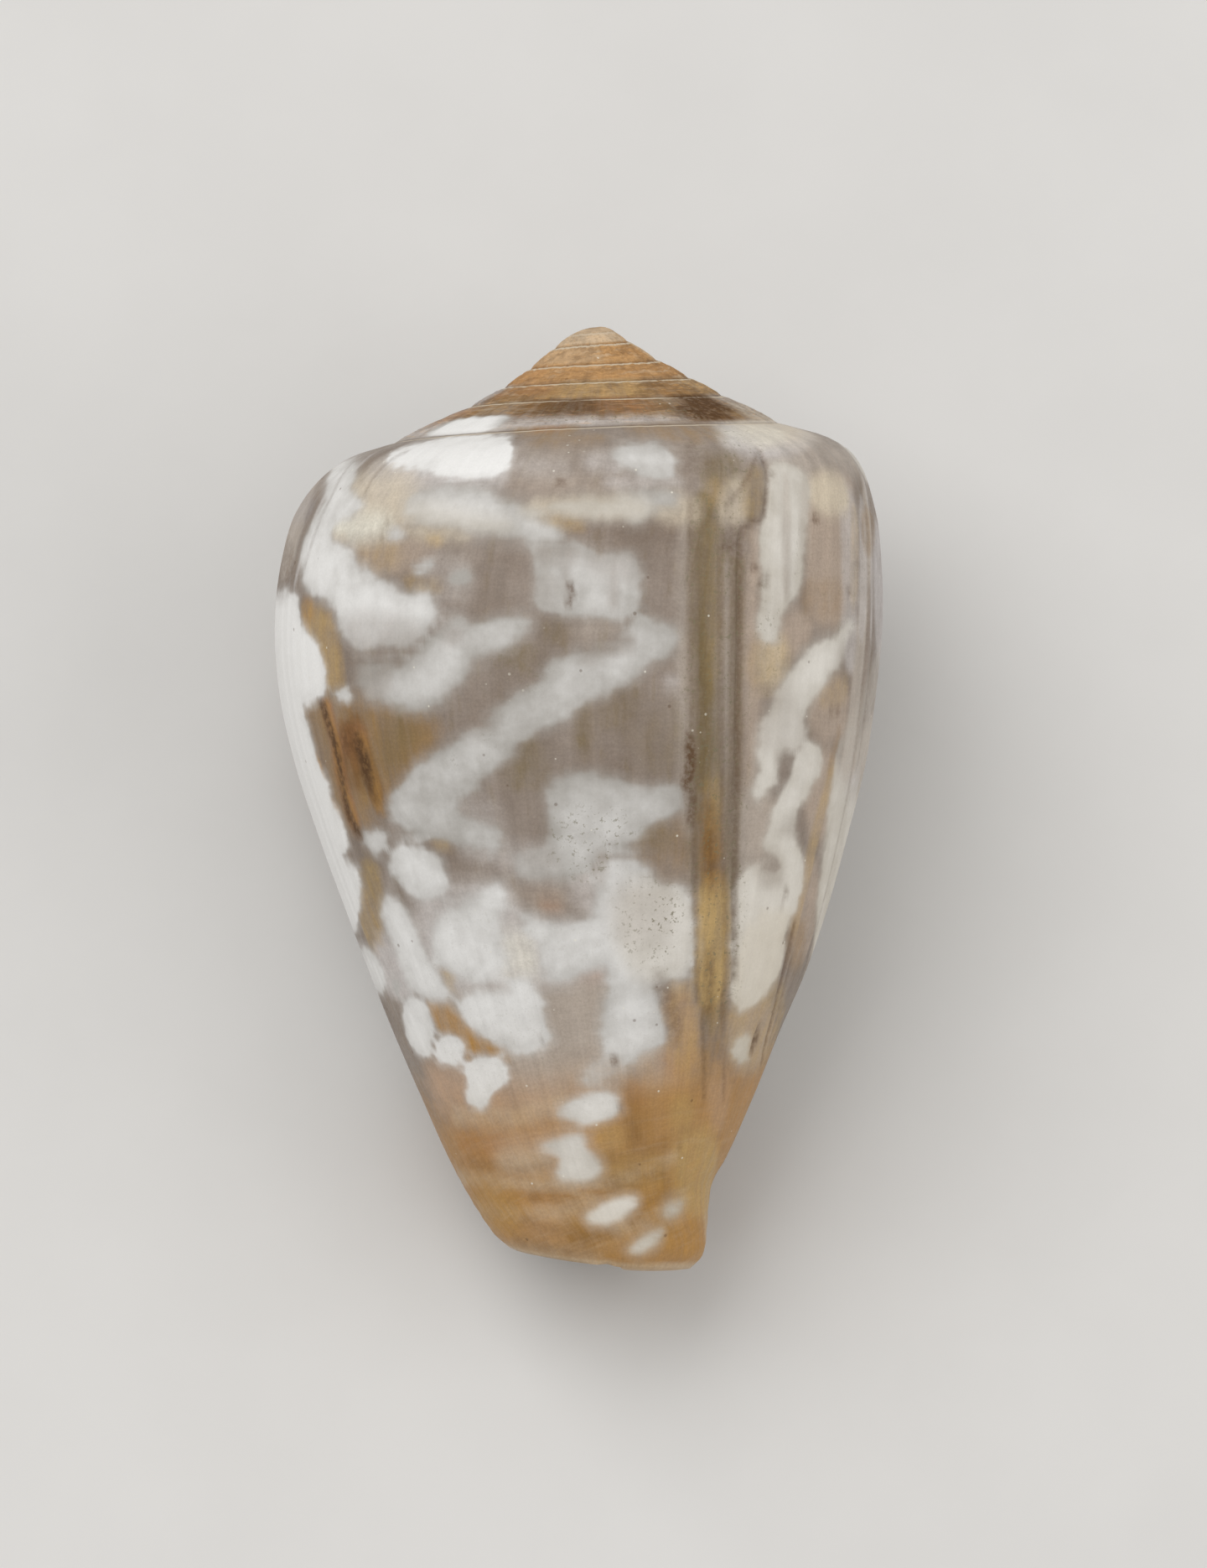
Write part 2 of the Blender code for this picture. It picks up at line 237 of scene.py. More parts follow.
def wall(turn, rows):
    """Thickness of the wall of the last whorl, down its rows."""
    full = LIP_WALL + (FULL_WALL - LIP_WALL) * math.sqrt(eased(turn / WALL_TURN))
    share = np.linspace(0, 1, rows)
    return full * (1 - (1 - FOOT_WALL) * eased((share - 1) / FOOT_SHARE + 1))


def arc_shares(curve):
    """How far along a curve each of its points is, from 0 to 1."""
    steps = np.linalg.norm(np.diff(curve, axis=0), axis=1)
    return np.concatenate(((0,), np.cumsum(steps))) / steps.sum()


def mouth_wall(turn):
    """The inner face of the last whorl's wall: it starts on the whorl before and ends at the rim."""
    outer = outline(turn)
    column = outline(turn + 1)[PERCH:]
    inner = outer - normals(outer) * wall(turn, len(outer))[:, None]
    inner[-1, 1] = outer[-1, 1]
    room = inner[:, 0] - np.interp(inner[:, 1], column[::-1, 1], column[::-1, 0])
    clear = inner[(room > LEAST_GAP) & (inner[:, 1] < column[0, 1])]
    path = np.vstack((column[:1], clear))
    shares = arc_shares(outer)
    return np.column_stack([np.interp(shares, arc_shares(path), path[:, k]) for k in (0, 1)])


def hollow(turn):
    """The mouth's outer face, which closes on the column towards the blind end."""
    column = outline(turn + 1)
    column[:PERCH] = column[PERCH]
    near_end = np.clip((turn / MOUTH_DEPTH - 1) / CLOSING + 1, 0, 1)
    return column + (mouth_wall(turn) - column) * math.sqrt(1 - near_end**2)


def lag(height):
    return smooth_through(LAG[:, 0], LAG[:, 1], np.clip(height, 0, LAG[-1, 0]))


def degrees_round(turn, height):
    """Degrees round from the middle of the back, negative towards the lip."""
    return LIP_ANGLE - BACK_ANGLE + 360 * turn + lag(height)


def placed(turn, curve):
    """The points of an outline as places in space, in mm."""
    radius, height = curve[:, 0], curve[:, 1]
    angle = np.radians(BACK_ANGLE + degrees_round(turn, height))
    aside = APEX_ASIDE * eased(1 - (APEX_HEIGHT - height) / APEX_BEND)
    return np.column_stack((radius * np.cos(angle) - aside, radius * np.sin(angle), height))


# Marks on the back, as outlines in mm as the photo shows them: right of the axis, above the foot. A
# point beyond the shell's edge stands that much arc further round. Each has its strength, how softly it
# ends in mm, and its outline.
CLOUDS = {
    "left shoulder": (0.68, 0.5, (
        (-17.5, 41.3), (-17.3, 42.3), (-16.9, 43.3), (-16.4, 44.3), (-15.9, 45.2), (-15.9, 46.3),
        (-15.2, 47.2), (-14.0, 47.3), (-14.2, 46.4), (-14.6, 45.4), (-13.7, 44.8), (-13.9, 44.1),
        (-15.2, 43.6), (-15.7, 43.0), (-15.4, 42.3), (-14.3, 41.9), (-14.4, 41.1), (-13.4, 40.6),
        (-12.2, 40.1), (-11.6, 39.3), (-10.9, 39.2), (-10.1, 39.4), (-9.6, 39.0), (-9.5, 38.3),
        (-9.9, 37.2), (-10.6, 36.4), (-11.2, 35.9), (-12.4, 36.2), (-13.4, 35.9), (-14.6, 36.2),
        (-15.1, 37.4), (-15.3, 38.6), (-16.6, 39.2), (-17.3, 39.8))),
    "left middle": (0.37, 0.6, (
        (-9.8, 36.8), (-9.1, 37.3), (-8.6, 37.9), (-7.9, 37.8), (-7.3, 37.4), (-6.3, 37.8),
        (-5.0, 38.0), (-4.2, 37.9), (-3.9, 37.5), (-4.4, 36.9), (-5.5, 36.1), (-6.5, 35.6),
        (-7.3, 35.5), (-7.6, 34.9), (-8.0, 34.2), (-8.8, 33.7), (-9.3, 32.9), (-10.1, 32.5),
        (-11.0, 32.6), (-12.2, 32.9), (-13.5, 33.2), (-14.3, 34.2), (-14.0, 35.2), (-13.0, 35.3),
        (-11.4, 35.0), (-10.8, 36.1))),
    "oval spot": (0.50, 0.3, (
        (-10.9, 40.7), (-10.5, 41.15), (-9.9, 41.25), (-9.6, 41.0), (-9.9, 40.5), (-10.5, 40.35))),
    "faint spot": (0.25, 0.4, (
        (-8.8, 40.1), (-8.5, 40.6), (-7.9, 40.7), (-7.6, 40.2), (-7.9, 39.7), (-8.5, 39.7))),
    "small spot": (0.45, 0.4, (
        (-12.5, 42.7), (-12.1, 43.2), (-11.5, 43.1), (-11.4, 42.6), (-12.0, 42.4))),
    "bright shoulder patch": (0.97, 0.35, (
        (-12.6, 47.0), (-12.2, 47.6), (-11.3, 47.9), (-10.2, 48.3), (-8.5, 48.5), (-6.5, 48.55),
        (-5.3, 48.5), (-5.1, 47.5), (-5.3, 46.4), (-5.9, 46.1), (-7.0, 46.0), (-8.5, 46.0),
        (-9.8, 46.2), (-10.9, 46.6), (-11.8, 46.8))),
    "pale band": (0.40, 0.7, (
        (-11.0, 44.9), (-9.5, 45.5), (-7.5, 45.6), (-6.3, 45.5), (-6.0, 44.9), (-5.2, 44.6),
        (-4.2, 44.5), (-3.4, 44.3), (-3.1, 43.6), (-2.3, 43.1), (-2.4, 42.0), (-3.2, 41.9),
        (-4.0, 42.0), (-4.6, 42.4), (-5.6, 42.5), (-7.3, 42.7), (-9.0, 43.1), (-10.6, 43.4),
        (-11.6, 43.9))),
    "square block": (0.33, 0.4, (
        (-4.3, 42.3), (-3.7, 41.3), (-3.9, 40.0), (-3.7, 38.8), (-3.0, 38.1), (-1.5, 37.9),
        (0.6, 37.9), (1.6, 37.7), (2.3, 38.2), (2.3, 39.5), (2.2, 41.0), (2.0, 41.5), (1.2, 41.7),
        (0.0, 41.6), (-0.6, 41.9), (-1.3, 42.3), (-2.1, 42.2), (-3.0, 42.6))),
    "cream band": (0.30, 0.6, (
        (-3.0, 44.5), (-1.5, 44.8), (0.5, 44.8), (1.2, 45.2), (2.8, 45.3), (4.2, 45.2), (4.6, 44.6),
        (3.4, 44.2), (2.7, 43.8), (2.5, 43.2), (2.0, 43.15), (1.4, 43.5), (0.0, 43.6), (-1.4, 43.7),
        (-2.4, 43.9), (-3.3, 44.1))),
    "shoulder oval": (0.54, 0.4, (
        (0.6, 47.3), (1.2, 47.9), (2.6, 48.1), (3.6, 47.9), (4.25, 47.3), (4.4, 46.4), (3.9, 45.9),
        (2.8, 46.0), (1.8, 46.3), (1.0, 46.8))),
    "long slanting band": (0.38, 0.5, (
        (1.4, 37.2), (0.9, 36.5), (-0.9, 36.2), (-2.0, 35.8), (-3.0, 35.2), (-3.3, 34.3),
        (-4.2, 33.7), (-5.6, 33.1), (-6.4, 32.3), (-7.2, 31.4), (-8.4, 30.9), (-9.2, 30.2),
        (-10.2, 29.8), (-10.9, 29.1), (-11.6, 28.3), (-12.3, 27.4), (-12.3, 26.4), (-11.6, 25.7),
        (-10.4, 25.3), (-9.2, 25.0), (-7.8, 24.7), (-6.2, 24.3), (-5.4, 24.9), (-5.7, 25.7),
        (-7.0, 26.0), (-8.0, 26.5), (-8.6, 27.1), (-8.0, 27.7), (-7.1, 28.0), (-6.4, 28.9),
        (-5.5, 29.8), (-4.7, 30.7), (-3.8, 31.3), (-2.4, 31.8), (-1.5, 32.7), (-0.6, 33.0),
        (0.5, 33.6), (1.5, 34.2), (2.3, 34.8), (2.8, 35.3), (4.0, 35.6), (4.5, 36.5), (4.4, 37.3),
        (3.2, 37.6), (2.4, 38.1), (1.6, 37.9))),
    "speck by the left edge": (0.60, 0.3, (
        (-15.7, 33.3), (-15.2, 33.8), (-14.6, 33.9), (-14.4, 33.4), (-14.9, 33.0))),
    "left edge strip": (0.95, 0.4, (
        (-18.7, 39.8), (-17.7, 39.4), (-17.5, 38.3), (-17.3, 37.4), (-16.6, 36.7), (-16.2, 35.8),
        (-16.0, 34.6), (-16.0, 33.7), (-16.4, 33.1), (-17.4, 32.9), (-17.1, 31.8), (-16.7, 30.6),
        (-16.4, 29.3), (-15.7, 28.3), (-15.7, 27.2), (-15.1, 26.3), (-14.7, 25.2), (-14.8, 24.5),
        (-15.2, 24.0), (-14.8, 23.6), (-14.2, 23.5), (-14.0, 22.4), (-14.0, 20.8), (-14.3, 19.6),
        (-16.0, 19.8), (-17.0, 21.5), (-19.6, 24.0), (-18.4, 26.5), (-20.8, 29.0), (-20.0, 31.5),
        (-22.6, 33.5), (-20.6, 36.0), (-21.6, 38.4))),
    "leaf": (0.33, 0.5, (
        (-3.2, 28.0), (-2.4, 28.6), (-1.2, 28.95), (0.0, 28.8), (1.5, 28.4), (2.8, 28.1),
        (4.2, 28.3), (4.9, 28.0), (4.8, 27.0), (3.9, 26.5), (2.8, 25.9), (2.1, 25.1), (1.1, 24.5),
        (0.0, 24.1), (-0.3, 23.5), (-0.9, 22.9), (-2.2, 22.7), (-3.8, 22.8), (-4.8, 23.1),
        (-5.0, 23.9), (-4.2, 24.5), (-3.2, 24.8), (-2.9, 25.6), (-3.0, 26.6), (-2.8, 27.3))),
    "worn white": (0.58, 0.5, (
        (0.0, 23.9), (0.8, 24.0), (2.0, 23.9), (2.9, 23.4), (3.2, 22.6), (4.0, 22.4), (5.0, 22.4),
        (5.3, 21.5), (5.4, 19.5), (5.4, 18.0), (5.2, 17.3), (4.4, 16.9), (3.7, 16.8), (3.1, 16.5),
        (3.2, 15.8), (3.5, 14.9), (3.8, 14.0), (3.8, 13.3), (3.2, 12.9), (2.4, 12.6), (1.6, 12.0),
        (0.9, 11.5), (0.0, 11.1), (-0.9, 11.0), (-1.2, 11.3), (-0.6, 11.8), (0.0, 12.3),
        (0.1, 13.1), (-0.1, 14.0), (0.0, 14.9), (0.3, 15.8), (0.3, 16.6), (0.2, 17.4), (0.2, 17.9),
        (-0.2, 17.7), (-1.2, 17.3), (-1.6, 16.9), (-2.3, 16.7), (-3.1, 16.9), (-3.5, 17.4),
        (-3.6, 18.5), (-3.9, 19.3), (-4.9, 20.3), (-4.3, 20.9), (-3.5, 20.5), (-2.6, 20.2),
        (-1.5, 20.3), (-0.6, 20.7), (-0.2, 21.6), (-0.5, 22.5), (-0.3, 23.3))),
    "low left, upper": (0.72, 0.4, (
        (-12.4, 24.0), (-11.9, 24.8), (-11.1, 24.9), (-10.2, 24.7), (-9.5, 24.1), (-9.1, 23.4),
        (-8.8, 22.7), (-9.0, 22.0), (-9.8, 21.5), (-10.6, 21.5), (-11.3, 22.0), (-11.9, 22.8),
        (-12.4, 23.4))),
    "low left, slanting": (0.68, 0.5, (
        (-12.9, 21.3), (-12.2, 21.9), (-11.5, 21.5), (-11.1, 20.4), (-10.6, 19.3), (-10.2, 18.2),
        (-9.6, 17.7), (-9.3, 17.2), (-9.2, 16.6), (-8.7, 16.2), (-8.5, 15.8), (-9.2, 15.6),
        (-10.4, 15.8), (-11.0, 16.3), (-11.6, 17.2), (-11.9, 18.2), (-12.2, 19.3), (-12.8, 20.3))),
    "low left, broad": (0.68, 0.6, (
        (-9.9, 17.6), (-9.8, 18.6), (-9.9, 19.8), (-9.4, 20.7), (-8.5, 21.3), (-7.4, 21.9),
        (-6.4, 22.4), (-5.6, 22.4), (-5.2, 21.7), (-5.6, 21.0), (-5.9, 20.3), (-5.7, 19.3),
        (-5.4, 18.4), (-5.6, 17.4), (-6.2, 16.8), (-7.0, 16.6), (-7.9, 16.9), (-8.6, 17.3),
        (-9.2, 17.5))),
    "big low": (0.72, 0.4, (
        (-8.4, 15.5), (-7.5, 16.3), (-6.2, 16.4), (-5.6, 16.8), (-4.9, 17.0), (-4.0, 16.9),
        (-3.6, 16.3), (-3.4, 15.5), (-3.1, 14.6), (-2.85, 13.8), (-2.9, 13.2), (-3.4, 12.9),
        (-4.3, 12.7), (-5.1, 12.6), (-5.8, 13.1), (-6.6, 13.5), (-7.4, 14.0), (-8.0, 14.7))),
    "low edge": (0.80, 0.35, (
        (-11.6, 15.6), (-11.0, 16.0), (-10.5, 15.8), (-10.0, 15.0), (-9.8, 14.2), (-9.8, 13.3),
        (-9.9, 12.5), (-10.4, 12.3), (-11.0, 12.7), (-11.4, 13.6), (-11.6, 14.6))),
    "round spot": (0.90, 0.3, (
        (-9.9, 12.8), (-9.6, 13.4), (-9.0, 13.7), (-8.3, 13.5), (-8.0, 12.9), (-8.1, 12.2),
        (-8.7, 11.8), (-9.4, 11.9))),
    "heart spot": (0.92, 0.3, (
        (-8.0, 11.7), (-7.7, 12.3), (-7.0, 12.5), (-6.2, 12.4), (-5.5, 12.0), (-5.3, 11.4),
        (-5.6, 11.0), (-6.1, 10.6), (-6.4, 10.1), (-6.7, 9.5), (-7.2, 9.3), (-7.8, 9.6),
        (-8.0, 10.3), (-7.9, 11.0))),
    "left small": (0.65, 0.4, (
        (-13.9, 25.3), (-13.4, 25.6), (-12.7, 25.6), (-12.4, 25.1), (-12.6, 24.4), (-13.1, 24.1),
        (-13.5, 24.5))),
    "left taper": (0.80, 0.5, (
        (-14.3, 19.0), (-13.4, 18.7), (-13.0, 18.0), (-12.6, 17.1), (-12.5, 16.4), (-12.9, 15.8),
        (-13.5, 16.2), (-14.6, 17.6))),
    "left low line": (0.50, 0.4, ((-12.3, 17.3), (-12.0, 17.2), (-11.7, 16.3), (-12.0, 15.9))),
    "foot, upper": (0.70, 0.5, (
        (-2.6, 9.3), (-2.0, 9.8), (-1.2, 10.2), (-0.3, 10.5), (0.6, 10.4), (1.1, 9.8), (1.1, 9.2),
        (0.5, 8.9), (-0.2, 8.6), (-0.9, 8.4), (-1.6, 8.7), (-2.2, 8.9))),
    "foot, middle": (0.60, 0.5, (
        (-3.6, 7.2), (-2.9, 7.6), (-2.0, 7.9), (-1.2, 8.1), (-0.8, 7.7), (-0.9, 7.2), (-0.5, 6.8),
        (0.0, 6.5), (0.15, 6.0), (-0.2, 5.5), (-1.0, 5.2), (-1.8, 5.15), (-2.5, 5.4), (-2.8, 5.8),
        (-2.4, 6.3), (-2.6, 6.7), (-3.2, 6.8))),
    "foot, oval": (0.72, 0.5, (
        (-0.8, 3.3), (-0.2, 3.8), (0.6, 4.2), (1.5, 4.35), (2.1, 4.2), (2.1, 3.8), (1.6, 3.4),
        (1.1, 2.9), (0.4, 2.6), (-0.3, 2.7), (-0.8, 2.9))),
    "foot, low": (0.45, 0.5, (
        (1.6, 1.2), (2.1, 1.7), (2.8, 2.2), (3.4, 2.4), (3.7, 2.2), (3.3, 1.6), (2.7, 1.1),
        (2.0, 0.9))),
    "foot, faint": (0.25, 0.7, ((3.6, 3.3), (4.0, 4.0), (4.8, 4.1), (4.6, 3.3), (4.0, 3.0))),
    "right edge strip": (0.45, 0.5, (
        (13.7, 30.6), (15.1, 33.4), (15.9, 35.6), (16.6, 37.4), (17.1, 35.0), (16.8, 33.0),
        (15.4, 26.0), (13.9, 20.0), (12.6, 17.0), (12.0, 17.4), (12.4, 20.6), (12.8, 23.4),
        (13.3, 27.2))),
    "right small oval": (0.45, 0.4, (
        (7.5, 13.0), (7.9, 13.6), (8.4, 13.7), (8.6, 13.1), (8.6, 12.4), (8.1, 12.0), (7.6, 12.4))),
    "right column": (0.50, 0.4, (
        (9.7, 46.8), (10.6, 47.0), (11.4, 46.6), (12.0, 45.9), (12.1, 45.2), (12.0, 44.2), (11.9, 42.5),
        (11.8, 41.0), (11.6, 39.7), (11.3, 39.0), (10.8, 38.6), (10.4, 38.2), (10.3, 37.3),
        (10.2, 36.7), (9.8, 36.5), (9.2, 36.6), (9.0, 37.4), (9.2, 38.5), (9.3, 39.8), (9.1, 40.8),
        (9.1, 42.0), (9.1, 43.0), (9.5, 43.7), (9.6, 44.8), (9.6, 45.8))),
    "right slanting": (0.63, 0.5, (
        (14.6, 37.9), (14.9, 37.2), (14.2, 36.4), (14.1, 35.3), (13.3, 34.6), (12.5, 33.4),
        (12.0, 32.8), (11.8, 31.6), (11.9, 31.0), (11.3, 30.1), (10.4, 30.1), (10.1, 29.3),
        (10.2, 28.4), (9.7, 28.1), (9.1, 27.4), (8.6, 27.4), (8.8, 28.4), (9.1, 29.3), (9.0, 30.6),
        (9.1, 31.8), (9.9, 32.8), (10.3, 34.0), (11.1, 35.2), (12.2, 36.2), (13.2, 36.8),
        (14.0, 37.3))),
    "right low": (0.66, 0.4, (
        (9.2, 24.4), (9.5, 25.6), (10.0, 27.2), (10.9, 28.6), (11.2, 29.7), (11.6, 30.5),
        (12.3, 30.8), (12.9, 30.1), (12.8, 28.9), (12.1, 28.0), (11.5, 26.8), (11.0, 25.7),
        (11.5, 24.6), (11.9, 23.4), (11.6, 22.0), (11.1, 20.8), (10.6, 19.6), (10.5, 18.0),
        (10.0, 16.6), (9.0, 15.8), (8.0, 15.1), (7.5, 15.6), (7.6, 18.0), (7.6, 20.5),
        (7.8, 22.6), (8.4, 23.7), (9.2, 23.4), (9.9, 23.0), (10.4, 23.4), (10.0, 24.2))),
}

# Clouds that stand on the unseen side as well, this many degrees further round.
FAR_CLOUDS = ("square block", "leaf", "shoulder oval", "big low", "foot, upper")
FAR_SHIFT = 97.0

# Marks that two pigments share, in the same measure.
LEFT_COLUMN = (
    (-17.4, 38.9), (-15.6, 38.4), (-15.2, 36.6), (-14.9, 35.0), (-14.9, 33.8), (-15.9, 33.4),
    (-16.0, 34.6), (-16.4, 35.9), (-17.4, 37.4),
)
SCAR_HOOK = ((8.2, 46.7), (9.4, 46.4), (9.5, 44.8), (9.0, 43.6), (8.1, 43.6))
LEFT_STREAK = ((-15.9, 32.6), (-15.4, 30.9), (-15.2, 28.8), (-14.4, 26.2))

